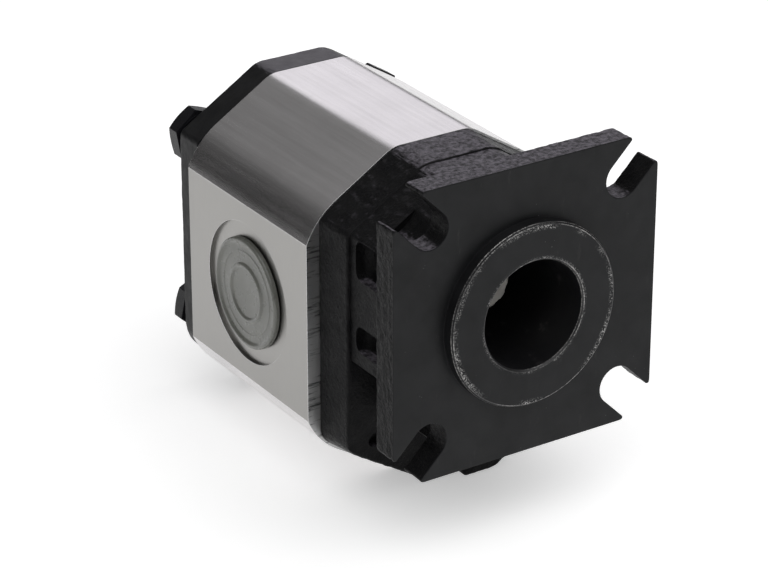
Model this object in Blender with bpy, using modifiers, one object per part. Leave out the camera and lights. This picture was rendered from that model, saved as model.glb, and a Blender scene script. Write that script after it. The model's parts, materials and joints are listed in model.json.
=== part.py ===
"""Hydraulic gear pump with a square four-slot mounting flange and a recessed splined drive shaft.

Frame: metres, +Z up.  The pump axis runs along Y, with the mounting face towards -Y.
The pump stands on the narrow flat under its covers and body, so z = 0 is that flat.
The origin is the centre of the footprint box of the whole pump.
Heights called "above the shaft" or "below the shaft" are measured from the drive shaft axis.
"""

import math

import bmesh
import bpy
from mathutils import Matrix, Vector

# ---------------------------------------------------------------- driving dimensions (metres)
GAP = 0.0003                    # clearance between pieces that seat on each other
RUNNING = 0.0001                # radial clearance of a journal in its liner

FLANGE_SIDE = 0.096
FLANGE_THICKNESS = 0.0094
FLANGE_CORNER = 0.013           # corner radius, concentric with the slot ends
SLOT_CENTRE = 0.035             # slot's inner end centre, across and up from the shaft
SLOT_RADIUS = 0.0063
PILOT_RADIUS = 0.030
PILOT_HEIGHT = 0.0042
BORE_RADIUS = 0.0178
BORE_CHAMFER = 0.0006

COVER_DEPTH = 0.0518            # flange face to the body's front end
COVER_PLATE = 0.0150            # full-outline part of the front cover, next to the body
PLATE_LIFT = 0.0014             # how far the plate's lower chamfers sit above the body's
BODY_LENGTH = 0.072
REAR_COVER = 0.0121
CENTRE_DISTANCE = 0.035         # between the two gear shafts

HEIGHT = 0.1118                 # over the top and bottom flats
TOP_HALF = 0.013                # half-width of the top and bottom flats
CHAMFER_ANGLE = math.radians(31.8)
FRONT_HALF_WIDTH = 0.0413
FRONT_UPPER_ROUND = 0.011       # corner radii of the covers' outlines
FRONT_LOWER_ROUND = 0.007
REAR_HALF_WIDTH = 0.0422
REAR_UPPER_ROUND = 0.008
REAR_LOWER_ROUND = 0.014
SIDE_ROUND = 0.003
BOTTOM_ROUND = 0.004
BODY_HALF_WIDTH = 0.0458        # over the milled port faces
BODY_ARC_RADIUS = 0.027         # turns the body's chamfer down to the port face
BODY_ARC_START = 0.035          # distance from the mid-plane where that arc leaves the chamfer

NECK_HALF_WIDTH = 0.0394        # front cover between the flange and the plate
NECK_STEP = 0.0225              # below the shaft, where the neck narrows between the lower slots
NECK_LOWER_HALF = 0.0265
NECK_BELOW = 0.0455             # neck's lower edge below the shaft
NECK_CORNER = 0.006
NECK_EDGE_ROUND = 0.0015
NECK_INSET = 0.0003             # keeps the neck just inside the plate's outline
RELIEF_RADIUS = 0.0118          # room for a nut behind each flange slot
RELIEF_RUNOUT = 0.0003          # how far a relief bites into the flange
RELIEF_STEP = 0.0015            # left standing between a lower relief and the plate
UPPER_RELIEF_DEPTH = 0.0150
POCKET_LENGTH = 0.0215
POCKET_DEPTH = 0.005
POCKET_ROUND = 0.003
POCKETS = ((0.0138, 0.0130), (-0.0125, 0.0088))   # middle above the shaft, and height

NOTCH_RADIUS = 0.0024           # small cored notch low on the plate's front face
NOTCH_DEPTH = 0.003
NOTCH_PLACE = (0.0305, 0.0215)

FOOT_REACH = 0.0035             # cast foot low on the plate's front, right of the middle
FOOT_LEFT = 0.0005
FOOT_RIGHT = 0.0235
FOOT_TOP = 0.013
FOOT_ROUND = 0.002
FOOT_TOE_ROUND = 0.009           # blends the foot into the plate's lower chamfer

BOLT_X = 0.0336
BOLT_UPPER = 0.0163             # upper bolt pair above the shaft
BOLT_LOWER = -0.0448            # lower bolt pair below the shaft
BOLT_RADIUS = 0.005
BOLT_HOLE = 0.0054
BOLT_ACROSS_FLATS = 0.0168
BOLT_HEAD = 0.0064
BOLT_THREAD = 0.0130            # engagement in the front cover
HEAD_TURNS = {"upper_left": 39.9, "lower_left": 17.5, "upper_right": 28.2, "lower_right": 49.0}

PORT_SPOTFACE = 0.0238
PORT_SPOTFACE_DEPTH = 0.0012
PORT_THREAD = 0.0155
PORT_THREAD_DEPTH = 0.018
PORT_PASSAGE = 0.0085
CAP_RADIUS = 0.0185
CAP_THICKNESS = 0.0020
CAP_SKIRT = 0.0148
CAP_SKIRT_LENGTH = 0.009

GEAR_TEETH = 12
GEAR_PRESSURE_ANGLE = math.radians(25.0)
GEAR_ADDENDUM = 0.95            # in modules
GEAR_DEDENDUM = 1.28
GEAR_THINNING = 0.0004          # taken off each tooth at the pitch circle
GEAR_BORE_CLEARANCE = 0.0003
JOURNAL_RADIUS = 0.009
BLOCK_LENGTH = 0.0195
LINER_WALL = 0.0014
SEAL_LAND_RADIUS = 0.0085
SPLINE_RADIUS = 0.00825
SPLINE_ROOT = 0.0070
SPLINE_TEETH = 9
SPLINE_END = 0.0205             # shaft end behind the flange face
SPLINE_LENGTH = 0.0135

SEAL_SEAT = 0.0453              # seat floor behind the flange face
SEAL_LENGTH = 0.0070
SEAL_WALL = 0.0024
SEAL_LIP_RADIUS = 0.0088
CIRCLIP_THICKNESS = 0.0012
CIRCLIP_RADIUS = 0.0187
CIRCLIP_WIDTH = 0.0026
SHAFT_HOLE = 0.0100

BALANCE_OUTER = 0.0184
BALANCE_INNER = 0.0159
BALANCE_GROOVE = 0.0030
BALANCE_SEAL = 0.0015
BACKUP_THICKNESS = 0.0008
BODY_SEAL_INNER = 0.0222
BODY_SEAL_OUTER = 0.0246
BODY_SEAL_GROOVE = 0.0018
DOWEL_RADIUS = 0.003
DOWEL_LENGTH = 0.012
DOWEL_PLACES = ((-0.0358, -0.006), (0.0358, -0.029))

# ---------------------------------------------------------------- derived stations
LENGTH = PILOT_HEIGHT + COVER_DEPTH + BODY_LENGTH + REAR_COVER + BOLT_HEAD
Y_PILOT = -LENGTH / 2
Y_FLANGE = Y_PILOT + PILOT_HEIGHT
Y_FLANGE_BACK = Y_FLANGE + FLANGE_THICKNESS
Y_BODY_FRONT = Y_FLANGE + COVER_DEPTH
Y_PLATE = Y_BODY_FRONT - COVER_PLATE
Y_BODY_BACK = Y_BODY_FRONT + BODY_LENGTH
Y_COVER_BACK = Y_BODY_BACK + REAR_COVER
Y_PORT = (Y_BODY_FRONT + Y_BODY_BACK) / 2
Y_SEAT = Y_FLANGE + SEAL_SEAT

Z_MIDDLE = HEIGHT / 2
Z_SHAFT = Z_MIDDLE + CENTRE_DISTANCE / 2
Z_DRIVEN = Z_MIDDLE - CENTRE_DISTANCE / 2

GEAR_MODULE = CENTRE_DISTANCE / GEAR_TEETH
GEAR_TIP = CENTRE_DISTANCE / 2 + GEAR_ADDENDUM * GEAR_MODULE
GEAR_ROOT = CENTRE_DISTANCE / 2 - GEAR_DEDENDUM * GEAR_MODULE
GEAR_BORE = GEAR_TIP + GEAR_BORE_CLEARANCE
GEAR_WIDTH = BODY_LENGTH - 2 * BLOCK_LENGTH - 4 * GAP
Y_GEAR = (Y_BODY_FRONT + Y_BODY_BACK) / 2
LINER_BORE = JOURNAL_RADIUS + RUNNING
LINER_OUTER = LINER_BORE + LINER_WALL
OVERLAP = 0.001                 # how far cutters and joined solids run into each other

ALONG_Y = Matrix.Rotation(-math.pi / 2, 4, "X")    # turns local +Z to world +Y
OUTLINE_TO_XZ = Matrix.Rotation(math.pi / 2, 4, "X")  # turns a flat XY outline up into XZ


# ---------------------------------------------------------------- scene set-up
def clear_scene():
    for item in list(bpy.data.objects):
        bpy.data.objects.remove(item, do_unlink=True)


def new_collection(name):
    collection = bpy.data.collections.new(name)
    bpy.context.scene.collection.children.link(collection)
    return collection


clear_scene()
PARTS = new_collection("hydraulic_gear_pump")
CUTTERS = new_collection("cutters")


def material(name, colour, roughness, metallic):
    made = bpy.data.materials.new(name)
    made.use_nodes = True
    shader = made.node_tree.nodes["Principled BSDF"]
    shader.inputs["Base Color"].default_value = (*colour, 1.0)
    shader.inputs["Roughness"].default_value = roughness
    shader.inputs["Metallic"].default_value = metallic
    made.diffuse_color = (*colour, 1.0)
    return made


BLACK_PAINT = material("black_painted_iron", (0.022, 0.022, 0.025), 0.48, 0.0)
ALUMINIUM = material("milled_aluminium", (0.72, 0.71, 0.70), 0.36, 1.0)
STEEL = material("ground_steel", (0.52, 0.52, 0.53), 0.26, 1.0)
BLACK_STEEL = material("blackened_bolt_steel", (0.028, 0.029, 0.034), 0.42, 0.6)
BEARING_ALLOY = material("bearing_alloy", (0.60, 0.60, 0.58), 0.42, 1.0)
BRONZE = material("sintered_bronze_liner", (0.48, 0.30, 0.15), 0.45, 1.0)
RUBBER = material("nitrile_rubber", (0.018, 0.018, 0.018), 0.62, 0.0)
NYLON = material("backup_nylon", (0.72, 0.70, 0.62), 0.50, 0.0)
PLASTIC = material("grey_cap_plastic", (0.42, 0.43, 0.38), 0.38, 0.0)
SPRING_STEEL = material("spring_steel", (0.10, 0.10, 0.11), 0.34, 1.0)


# ---------------------------------------------------------------- outline helpers (x, z pairs)
def arc(centre, radius, start, end, steps):
    """Points on an arc from start to end, both in degrees and both included."""
    points = []
    for step in range(steps + 1):
        angle = math.radians(start + (end - start) * step / steps)
        points.append((centre[0] + radius * math.cos(angle), centre[1] + radius * math.sin(angle)))
    return points


def circle(centre, radius, steps):
    return arc(centre, radius, 0, 360, steps)[:-1]


def rounded(corners, steps):
    """A polygon whose corners, given as (x, z, radius), are rounded by tangent arcs."""
    points = []
    count = len(corners)
    for index, (x, z, radius) in enumerate(corners):
        corner = Vector((x, z))
        before = (Vector(corners[index - 1][:2]) - corner).normalized()
        after = (Vector(corners[(index + 1) % count][:2]) - corner).normalized()
        half = before.angle(after) / 2
        centre = corner + (before + after).normalized() * radius / math.sin(half)
        start = corner + before * radius / math.tan(half) - centre
        turn = start.angle_signed(corner + after * radius / math.tan(half) - centre)
        for step in range(steps + 1):
            spoke = start.copy()
            spoke.rotate(Matrix.Rotation(-turn * step / steps, 2))
            points.append(tuple(centre + spoke))
    return points


def mirrored(right_side):
    """Right-hand points from top to bottom, closed by their mirror image."""
    return right_side + [(-x, z) for x, z in reversed(right_side)]


def cover_outline(half_width, upper_radius, lower_radius, lift=0.0):
    """The eight-sided cover; lift raises its two lower chamfers and narrows the flat below."""
    slope = math.tan(CHAMFER_ANGLE)
    shoulder = HEIGHT / 2 - (half_width - TOP_HALF) * slope
    right = [(TOP_HALF, Z_MIDDLE + HEIGHT / 2, upper_radius),
             (half_width, Z_MIDDLE + shoulder, SIDE_ROUND),
             (half_width, Z_MIDDLE - shoulder + lift, lower_radius),
             (TOP_HALF - lift / slope, 0.0, BOTTOM_ROUND)]
    left = [(-x, z, radius) for x, z, radius in reversed(right)]
    return rounded(right + left, 4)


def body_outline():
    """The extruded body: chamfers that roll over a wide arc into the milled port faces."""
    normal = math.pi / 2 - CHAMFER_ANGLE
    start_z = HEIGHT / 2 - (BODY_ARC_START - TOP_HALF) * math.tan(CHAMFER_ANGLE)
    centre = (BODY_ARC_START - BODY_ARC_RADIUS * math.cos(normal),
              start_z - BODY_ARC_RADIUS * math.sin(normal))
    end = math.degrees(math.acos((BODY_HALF_WIDTH - centre[0]) / BODY_ARC_RADIUS))
    upper = [(TOP_HALF, HEIGHT / 2)] + arc(centre, BODY_ARC_RADIUS, math.degrees(normal), end, 7)
    right = upper + [(x, -z) for x, z in reversed(upper)]
    return [(x, z + Z_MIDDLE) for x, z in mirrored(right)]


def figure_eight(radius, steps):
    """Two equal circles on the gear shafts, joined where they cross."""
    lean = math.degrees(math.asin(CENTRE_DISTANCE / 2 / radius))
    upper = arc((0.0, Z_SHAFT), radius, -lean, 180 + lean, steps)
    lower = arc((0.0, Z_DRIVEN), radius, 180 - lean, 360 + lean, steps)
    return upper[:-1] + lower[:-1]


def stadium(radius, steps):
    """A racetrack around both gear shafts."""
    return arc((0.0, Z_SHAFT), radius, 0, 180, steps) + arc((0.0, Z_DRIVEN), radius, 180, 360, steps)


def gear_outline(steps):
    """Involute teeth with radial flanks below the base circle; a tooth points along +X."""
    pitch = CENTRE_DISTANCE / 2
    base = pitch * math.cos(GEAR_PRESSURE_ANGLE)
    involute = math.tan(GEAR_PRESSURE_ANGLE) - GEAR_PRESSURE_ANGLE
    half_tooth = (math.pi * GEAR_MODULE / 2 - GEAR_THINNING) / 2 / pitch
    half_base = half_tooth + involute
    flank = []
    for step in range(steps + 1):
        radius = base + (GEAR_TIP - base) * step / steps
        roll = math.acos(base / radius)
        flank.append((radius, half_base - (math.tan(roll) - roll)))
    space = math.pi / GEAR_TEETH - half_base
    root = [(GEAR_ROOT, half_base + space * 0.75), (GEAR_ROOT + 0.25 * (base - GEAR_ROOT), half_base)]
    half = root + flank
    points = []
    for tooth in range(GEAR_TEETH):
        middle = 2 * math.pi * tooth / GEAR_TEETH
        side = [(radius, middle - angle) for radius, angle in half]
        side += [(radius, middle + angle) for radius, angle in reversed(half)]
        points += [(radius * math.cos(angle), radius * math.sin(angle)) for radius, angle in side]
    return points


def spline_outline():
    """A straight-sided spline: raised keys between root grooves."""
    points = []
    for tooth in range(SPLINE_TEETH):
        middle = 360 * tooth / SPLINE_TEETH
        points += arc((0.0, 0.0), SPLINE_RADIUS, middle - 8, middle + 8, 2)
        points += arc((0.0, 0.0), SPLINE_ROOT, middle + 13, middle + 27, 2)
    return points


# ---------------------------------------------------------------- solid helpers
def place(name, mesh, collection, matrix=None):
    made = bpy.data.objects.new(name, mesh)
    collection.objects.link(made)
    if matrix is not None:
        made.matrix_world = matrix
    if collection is CUTTERS:
        made.hide_render = True
        made.display_type = "WIRE"
    return made


def extruded(name, outlines, y_front, y_back, collection=None, centre=(0.0, 0.0)):
    """A prism along Y from flat outlines; inner outlines are holes."""
    collection = collection or CUTTERS
    curve = bpy.data.curves.new(name + "_outline", "CURVE")
    curve.dimensions = "2D"
    curve.fill_mode = "BOTH"
    curve.extrude = (y_back - y_front) / 2
    for outline in outlines:
        spline = curve.splines.new("POLY")
        spline.points.add(len(outline) - 1)
        for point, (x, z) in zip(spline.points, outline):
            point.co = (x, z, 0.0, 1.0)
        spline.use_cyclic_u = True
    guide = place(name + "_guide", curve, CUTTERS)
    bpy.context.view_layer.update()
    evaluated = guide.evaluated_get(bpy.context.evaluated_depsgraph_get())
    mesh = bpy.data.meshes.new_from_object(evaluated)
    mesh.name = name
    bpy.data.objects.remove(guide, do_unlink=True)
    mesh.transform(OUTLINE_TO_XZ)
    shell = bmesh.new()
    shell.from_mesh(mesh)
    bmesh.ops.remove_doubles(shell, verts=shell.verts, dist=1e-7)
    bmesh.ops.recalc_face_normals(shell, faces=shell.faces)
    shell.to_mesh(mesh)
    shell.free()
    place_at = Matrix.Translation((centre[0], (y_front + y_back) / 2, centre[1]))
    return place(name, mesh, collection, place_at)


def turned(name, profile, centre, collection=None, steps=28, axis=ALONG_Y):
    """A turned piece: (radius, station) points, from the high end down the outside and back."""
    mesh = bpy.data.meshes.new(name)
    count = len(profile)
    closed = profile[0][0] > 0.0 or profile[-1][0] > 0.0
    edges = [(index, index + 1) for index in range(count - 1)]
    if closed:
        edges.append((count - 1, 0))
    mesh.from_pydata([(radius, 0.0, station) for radius, station in profile], edges, [])
    made = place(name, mesh, collection or CUTTERS, Matrix.Translation(centre) @ axis)
    screw = made.modifiers.new("turn", "SCREW")
    screw.axis = "Z"
    screw.steps = steps
    screw.render_steps = steps
    screw.use_merge_vertices = True
    screw.merge_threshold = 0.00001
    return made


def rod(name, radius, centre, y_front, y_back, collection=None, steps=24):
    """A plain cylinder along Y; centre is its x and z."""
    shell = bmesh.new()
    bmesh.ops.create_cone(shell, cap_ends=True, segments=steps, radius1=radius, radius2=radius,
                          depth=y_back - y_front)
    mesh = bpy.data.meshes.new(name)
    shell.to_mesh(mesh)
    shell.free()
    middle = Matrix.Translation((centre[0], (y_front + y_back) / 2, centre[1]))
    return place(name, mesh, collection or CUTTERS, middle @ ALONG_Y)


def cross_rod(name, radius, y, z, x_start, x_end, steps=48):
    """A cylinder cutter along X."""
    shell = bmesh.new()
    bmesh.ops.create_cone(shell, cap_ends=True, segments=steps, radius1=radius, radius2=radius,
                          depth=abs(x_end - x_start))
    mesh = bpy.data.meshes.new(name)
    shell.to_mesh(mesh)
    shell.free()
    middle = Matrix.Translation(((x_start + x_end) / 2, y, z))
    return place(name, mesh, CUTTERS, middle @ Matrix.Rotation(math.pi / 2, 4, "Y"))


def combine(target, other, operation):
    """A live Boolean between two objects."""
    step = target.modifiers.new(operation.lower() + "_" + other.name, "BOOLEAN")
    step.object = other
    step.operation = operation
    step.solver = "EXACT"
    return target


def cut(target, *cutters):
    for cutter in cutters:
        combine(target, cutter, "DIFFERENCE")


def finish_piece(piece, finish):
    """Gives a piece its finish and smooth shading between its sharp edges."""
    piece.data.materials.clear()
    piece.data.materials.append(finish)
    piece.data.shade_smooth()
    if piece.data.polygons:
        piece.data.set_sharp_from_angle(angle=math.radians(35))
    return piece


# ---------------------------------------------------------------- front cover
def relief_cutters():
    """Nut room behind the slots: shallow above, where the casting slopes, deep below."""
    made = []
    for side in (-1, 1):
        upper = (side * SLOT_CENTRE, Z_SHAFT + SLOT_CENTRE)
        lower = (side * SLOT_CENTRE, Z_SHAFT - SLOT_CENTRE)
        start = Y_FLANGE_BACK - RELIEF_RUNOUT
        made.append(rod(f"relief_upper_{side}", RELIEF_RADIUS, upper, start,
                        Y_FLANGE_BACK + UPPER_RELIEF_DEPTH))
        made.append(rod(f"relief_lower_{side}", RELIEF_RADIUS, lower, start, Y_PLATE - RELIEF_STEP))
    return made


def pocket_cutters():
    """Cored recesses in both sides of the neck."""
    made = []
    middle_y = (Y_FLANGE_BACK + Y_PLATE) / 2
    for side in (-1, 1):
        for number, (middle, height) in enumerate(POCKETS):
            shell = bmesh.new()
            bmesh.ops.create_cube(shell, size=1.0)
            bmesh.ops.scale(shell, verts=shell.verts,
                            vec=(2 * POCKET_DEPTH, POCKET_LENGTH, height))
            bmesh.ops.bevel(shell, geom=shell.edges[:], offset=POCKET_ROUND, segments=1,
                            profile=0.5, affect="EDGES")
            mesh = bpy.data.meshes.new(f"pocket_{side}_{number}")
            shell.to_mesh(mesh)
            shell.free()
            centre = (side * NECK_HALF_WIDTH, middle_y, Z_SHAFT + middle)
            made.append(place(mesh.name, mesh, CUTTERS, Matrix.Translation(centre)))
    return made


def notch_cutters():
    return [rod(f"notch_{side}", NOTCH_RADIUS, (side * NOTCH_PLACE[0], NOTCH_PLACE[1]), Y_PLATE - OVERLAP,
                Y_PLATE + NOTCH_DEPTH, steps=12) for side in (-1, 1)]


def slot_cutters():
    """Open diagonal slots from each inner centre out past the corner."""
    made = []
    reach = FLANGE_SIDE / 4
    for number in range(4):
        outline = arc((0.0, 0.0), SLOT_RADIUS, 90, 270, 8) + [(reach, -SLOT_RADIUS), (reach, SLOT_RADIUS)]
        turn = math.radians(45 + 90 * number)
        spun = [(x * math.cos(turn) - z * math.sin(turn), x * math.sin(turn) + z * math.cos(turn))
                for x, z in outline]
        centre = (SLOT_CENTRE * math.copysign(1, math.cos(turn)),
                  Z_SHAFT + SLOT_CENTRE * math.copysign(1, math.sin(turn)))
        made.append(extruded(f"slot_{number}", [spun], Y_FLANGE - OVERLAP, Y_FLANGE_BACK + OVERLAP / 4,
                             centre=centre))
    return made


def flange_outline():
    half = FLANGE_SIDE / 2
    return rounded([(half, Z_SHAFT + half, FLANGE_CORNER), (half, Z_SHAFT - half, FLANGE_CORNER),
                    (-half, Z_SHAFT - half, FLANGE_CORNER), (-half, Z_SHAFT + half, FLANGE_CORNER)], 5)


def neck_outline():
    """Wide beside the shaft, narrow between the two lower slots."""
    top = HEIGHT - NECK_INSET
    chamfer_drop = (NECK_HALF_WIDTH - TOP_HALF) * math.tan(CHAMFER_ANGLE)
    step = Z_SHAFT - NECK_STEP
    right = [(TOP_HALF, top, FRONT_UPPER_ROUND), (NECK_HALF_WIDTH, top - chamfer_drop, NECK_EDGE_ROUND),
             (NECK_HALF_WIDTH, step, NECK_EDGE_ROUND), (NECK_LOWER_HALF, step, NECK_EDGE_ROUND),
             (NECK_LOWER_HALF, Z_SHAFT - NECK_BELOW, NECK_CORNER)]
    left = [(-x, z, radius) for x, z, radius in reversed(right)]
    return rounded(right + left, 4)


def foot_outline():
    chamfer_rise = (FOOT_RIGHT - TOP_HALF) * math.tan(CHAMFER_ANGLE)
    return rounded([(FOOT_LEFT, 0.0, FOOT_ROUND), (FOOT_LEFT, FOOT_TOP, FOOT_ROUND),
                    (FOOT_RIGHT, FOOT_TOP, FOOT_ROUND), (FOOT_RIGHT, chamfer_rise, FOOT_ROUND),
                    (TOP_HALF, 0.0, FOOT_TOE_ROUND)], 3)


def shaft_bore_cutter():
    """Coupling bore, circlip groove, seal seat and shaft hole in one stepped profile."""
    groove_back = Y_SEAT - SEAL_LENGTH - 2 * GAP
    groove_front = groove_back - CIRCLIP_THICKNESS - 2 * GAP
    profile = [(0.0, Y_BODY_FRONT + OVERLAP), (SHAFT_HOLE, Y_BODY_FRONT + OVERLAP), (SHAFT_HOLE, Y_SEAT),
               (BORE_RADIUS, Y_SEAT), (BORE_RADIUS, groove_back), (CIRCLIP_RADIUS + GAP, groove_back),
               (CIRCLIP_RADIUS + GAP, groove_front), (BORE_RADIUS, groove_front),
               (BORE_RADIUS, Y_PILOT + BORE_CHAMFER),
               (BORE_RADIUS + BORE_CHAMFER + OVERLAP, Y_PILOT - OVERLAP),
               (0.0, Y_PILOT - OVERLAP)]
    return turned("shaft_bore", profile, (0.0, 0.0, Z_SHAFT), steps=40)


def seal_groove(name, y_front, y_back):
    return extruded(name, [stadium(BODY_SEAL_OUTER, 12), stadium(BODY_SEAL_INNER, 12)], y_front, y_back)


def bolt_places():
    return {"upper_left": (-BOLT_X, Z_SHAFT + BOLT_UPPER), "upper_right": (BOLT_X, Z_SHAFT + BOLT_UPPER),
            "lower_left": (-BOLT_X, Z_SHAFT + BOLT_LOWER), "lower_right": (BOLT_X, Z_SHAFT + BOLT_LOWER)}


def bolt_hole_cutters(prefix, y_front, y_back):
    return [rod(f"{prefix}_{name}", BOLT_HOLE, place_at, y_front, y_back, steps=16)
            for name, place_at in bolt_places().items()]


def dowel_hole_cutters(prefix, y_face):
    half = DOWEL_LENGTH / 2 + GAP
    return [rod(f"{prefix}_{number}", DOWEL_RADIUS + GAP, (x, Z_SHAFT + z), y_face - half, y_face + half,
                steps=12)
            for number, (x, z) in enumerate(DOWEL_PLACES)]


def make_front_cover():
    cover = extruded("front_cover", [flange_outline()], Y_FLANGE, Y_FLANGE_BACK, PARTS)
    pilot_profile = [(0.0, Y_FLANGE_BACK - OVERLAP), (PILOT_RADIUS, Y_FLANGE_BACK - OVERLAP),
                     (PILOT_RADIUS, Y_PILOT + BORE_CHAMFER), (PILOT_RADIUS - BORE_CHAMFER, Y_PILOT),
                     (0.0, Y_PILOT)]
    neck = extruded("neck", [neck_outline()], Y_FLANGE_BACK - OVERLAP, Y_PLATE + OVERLAP)
    plate_outline = cover_outline(FRONT_HALF_WIDTH, FRONT_UPPER_ROUND, FRONT_LOWER_ROUND, PLATE_LIFT)
    plate = extruded("plate", [plate_outline], Y_PLATE, Y_BODY_FRONT - GAP)
    foot = extruded("foot", [foot_outline()], Y_PLATE - FOOT_REACH, Y_PLATE + COVER_PLATE / 2)
    combine(cover, neck, "UNION")
    combine(cover, plate, "UNION")
    combine(cover, foot, "UNION")
    combine(cover, turned("pilot", pilot_profile, (0.0, 0.0, Z_SHAFT), steps=48), "UNION")
    cut(cover, *relief_cutters(), *pocket_cutters(), *notch_cutters())
    cut(cover, shaft_bore_cutter(), *slot_cutters())
    cut(cover, *bolt_hole_cutters("thread", Y_BODY_FRONT - BOLT_THREAD - GAP, Y_BODY_FRONT + OVERLAP))
    cut(cover, *dowel_hole_cutters("front_dowel_hole", Y_BODY_FRONT))
    groove_floor = Y_BODY_FRONT - GAP - BODY_SEAL_GROOVE
    cut(cover, seal_groove("front_seal_groove", groove_floor, Y_BODY_FRONT + OVERLAP))
    return finish_piece(cover, BLACK_PAINT)


# ---------------------------------------------------------------- body and rear cover
def make_body():
    outlines = [body_outline(), figure_eight(GEAR_BORE, 26)]
    body = extruded("pump_body", outlines, Y_BODY_FRONT, Y_BODY_BACK, PARTS)
    cut(body, *bolt_hole_cutters("bolt_hole", Y_BODY_FRONT - OVERLAP, Y_BODY_BACK + OVERLAP))
    cut(body, *dowel_hole_cutters("body_dowel_hole_front", Y_BODY_FRONT))
    cut(body, *dowel_hole_cutters("body_dowel_hole_rear", Y_BODY_BACK))
    for side, name in ((-1, "left"), (1, "right")):
        face = side * BODY_HALF_WIDTH
        outside = face + side * OVERLAP
        floor = face - side * PORT_SPOTFACE_DEPTH
        thread_end = face - side * PORT_THREAD_DEPTH
        passage_end = side * PORT_PASSAGE / 2
        cut(body, cross_rod(f"spotface_{name}", PORT_SPOTFACE, Y_PORT, Z_MIDDLE, outside, floor, 40),
            cross_rod(f"port_{name}", PORT_THREAD, Y_PORT, Z_MIDDLE, outside, thread_end, 32),
            cross_rod(f"passage_{name}", PORT_PASSAGE, Y_PORT, Z_MIDDLE, outside, passage_end, 20))
    return finish_piece(body, ALUMINIUM)


def make_rear_cover():
    outline = cover_outline(REAR_HALF_WIDTH, REAR_UPPER_ROUND, REAR_LOWER_ROUND)
    cover = extruded("rear_cover", [outline], Y_BODY_BACK + GAP, Y_COVER_BACK, PARTS)
    cut(cover, *bolt_hole_cutters("cover_hole", Y_BODY_BACK - OVERLAP, Y_COVER_BACK + OVERLAP))
    cut(cover, *dowel_hole_cutters("rear_dowel_hole", Y_BODY_BACK))
    cut(cover, seal_groove("rear_seal_groove", Y_BODY_BACK - OVERLAP, Y_BODY_BACK + GAP + BODY_SEAL_GROOVE))
    return finish_piece(cover, BLACK_PAINT)


# ---------------------------------------------------------------- fasteners and dowels
def make_tie_bolt(name, centre, turn):
    """Shank and hexagon head; the head's outer corners are turned off at 30 degrees."""
    seat = Y_COVER_BACK + GAP
    tip = Y_BODY_FRONT - BOLT_THREAD
    end = Y_COVER_BACK + BOLT_HEAD
    corner = BOLT_ACROSS_FLATS / math.sqrt(3)
    washer_face = BOLT_ACROSS_FLATS / 2 * 0.95
    bevel = (corner - washer_face) * math.tan(math.radians(30))
    hexagon = arc((0.0, 0.0), corner, turn, turn + 300, 5)
    bolt = extruded("tie_bolt_" + name, [hexagon], seat, end, PARTS, centre)
    envelope = turned("head_turning_" + name, [(0.0, end), (washer_face, end), (corner, end - bevel),
                                               (corner + OVERLAP, seat - OVERLAP), (0.0, seat - OVERLAP)],
                      (centre[0], 0.0, centre[1]), steps=24)
    combine(bolt, envelope, "INTERSECT")
    shank = rod("shank_" + name, BOLT_RADIUS, centre, tip, seat + OVERLAP, steps=16)
    combine(bolt, shank, "UNION")
    return finish_piece(bolt, BLACK_STEEL)


def make_dowels(prefix, y_face):
    for number, (x, z) in enumerate(DOWEL_PLACES, start=1):
        dowel = rod(f"{prefix}_dowel_{number}", DOWEL_RADIUS, (x, Z_SHAFT + z), y_face - DOWEL_LENGTH / 2,
                    y_face + DOWEL_LENGTH / 2, PARTS, steps=12)
        finish_piece(dowel, STEEL)


# ---------------------------------------------------------------- gears
def make_gear(name, z, tooth_turn, journal_front, journal_back):
    """A gear with its two journals; the object's origin is on the shaft axis."""
    outline = gear_outline(3)
    turn = math.radians(tooth_turn)
    spun = [(x * math.cos(turn) - y * math.sin(turn), x * math.sin(turn) + y * math.cos(turn))
            for x, y in outline]
    gear = extruded(name, [spun], Y_GEAR - GEAR_WIDTH / 2, Y_GEAR + GEAR_WIDTH / 2, PARTS, (0.0, z))
    edge = 0.0008
    profile = [(0.0, journal_back), (JOURNAL_RADIUS - edge, journal_back),
               (JOURNAL_RADIUS, journal_back - edge), (JOURNAL_RADIUS, journal_front + edge),
               (JOURNAL_RADIUS - edge, journal_front), (0.0, journal_front)]
    combine(gear, turned(name + "_journals", profile, (0.0, 0.0, z)), "UNION")
    return gear


def make_drive_gear():
    front = Y_BODY_FRONT + GAP
    gear = make_gear("drive_gear", Z_SHAFT, -90, front, Y_BODY_BACK - 2 * GAP)
    spline_back = Y_FLANGE + SPLINE_END + SPLINE_LENGTH
    edge = 0.001
    land = [(0.0, front + 2 * edge), (SEAL_LAND_RADIUS, front + 2 * edge),
            (SEAL_LAND_RADIUS, spline_back + edge),
            (SPLINE_RADIUS - edge, spline_back), (0.0, spline_back)]
    combine(gear, turned("seal_land", land, (0.0, 0.0, Z_SHAFT)), "UNION")
    keys = extruded("spline_keys", [spline_outline()], Y_FLANGE + SPLINE_END, spline_back + edge / 2,
                    centre=(0.0, Z_SHAFT))
    tip = [(0.0, spline_back + edge), (SPLINE_RADIUS + edge, spline_back + edge),
           (SPLINE_RADIUS + edge, Y_FLANGE + SPLINE_END + 2 * edge),
           (SPLINE_RADIUS - edge, Y_FLANGE + SPLINE_END), (0.0, Y_FLANGE + SPLINE_END)]
    combine(keys, turned("spline_tip", tip, (0.0, 0.0, Z_SHAFT)), "INTERSECT")
    combine(gear, keys, "UNION")
    return finish_piece(gear, STEEL)


def make_driven_gear():
    half_pitch = 180 / GEAR_TEETH
    gear = make_gear("driven_gear", Z_DRIVEN, 90 + half_pitch, Y_BODY_FRONT + GAP, Y_BODY_BACK - 2 * GAP)
    return finish_piece(gear, STEEL)


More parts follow.
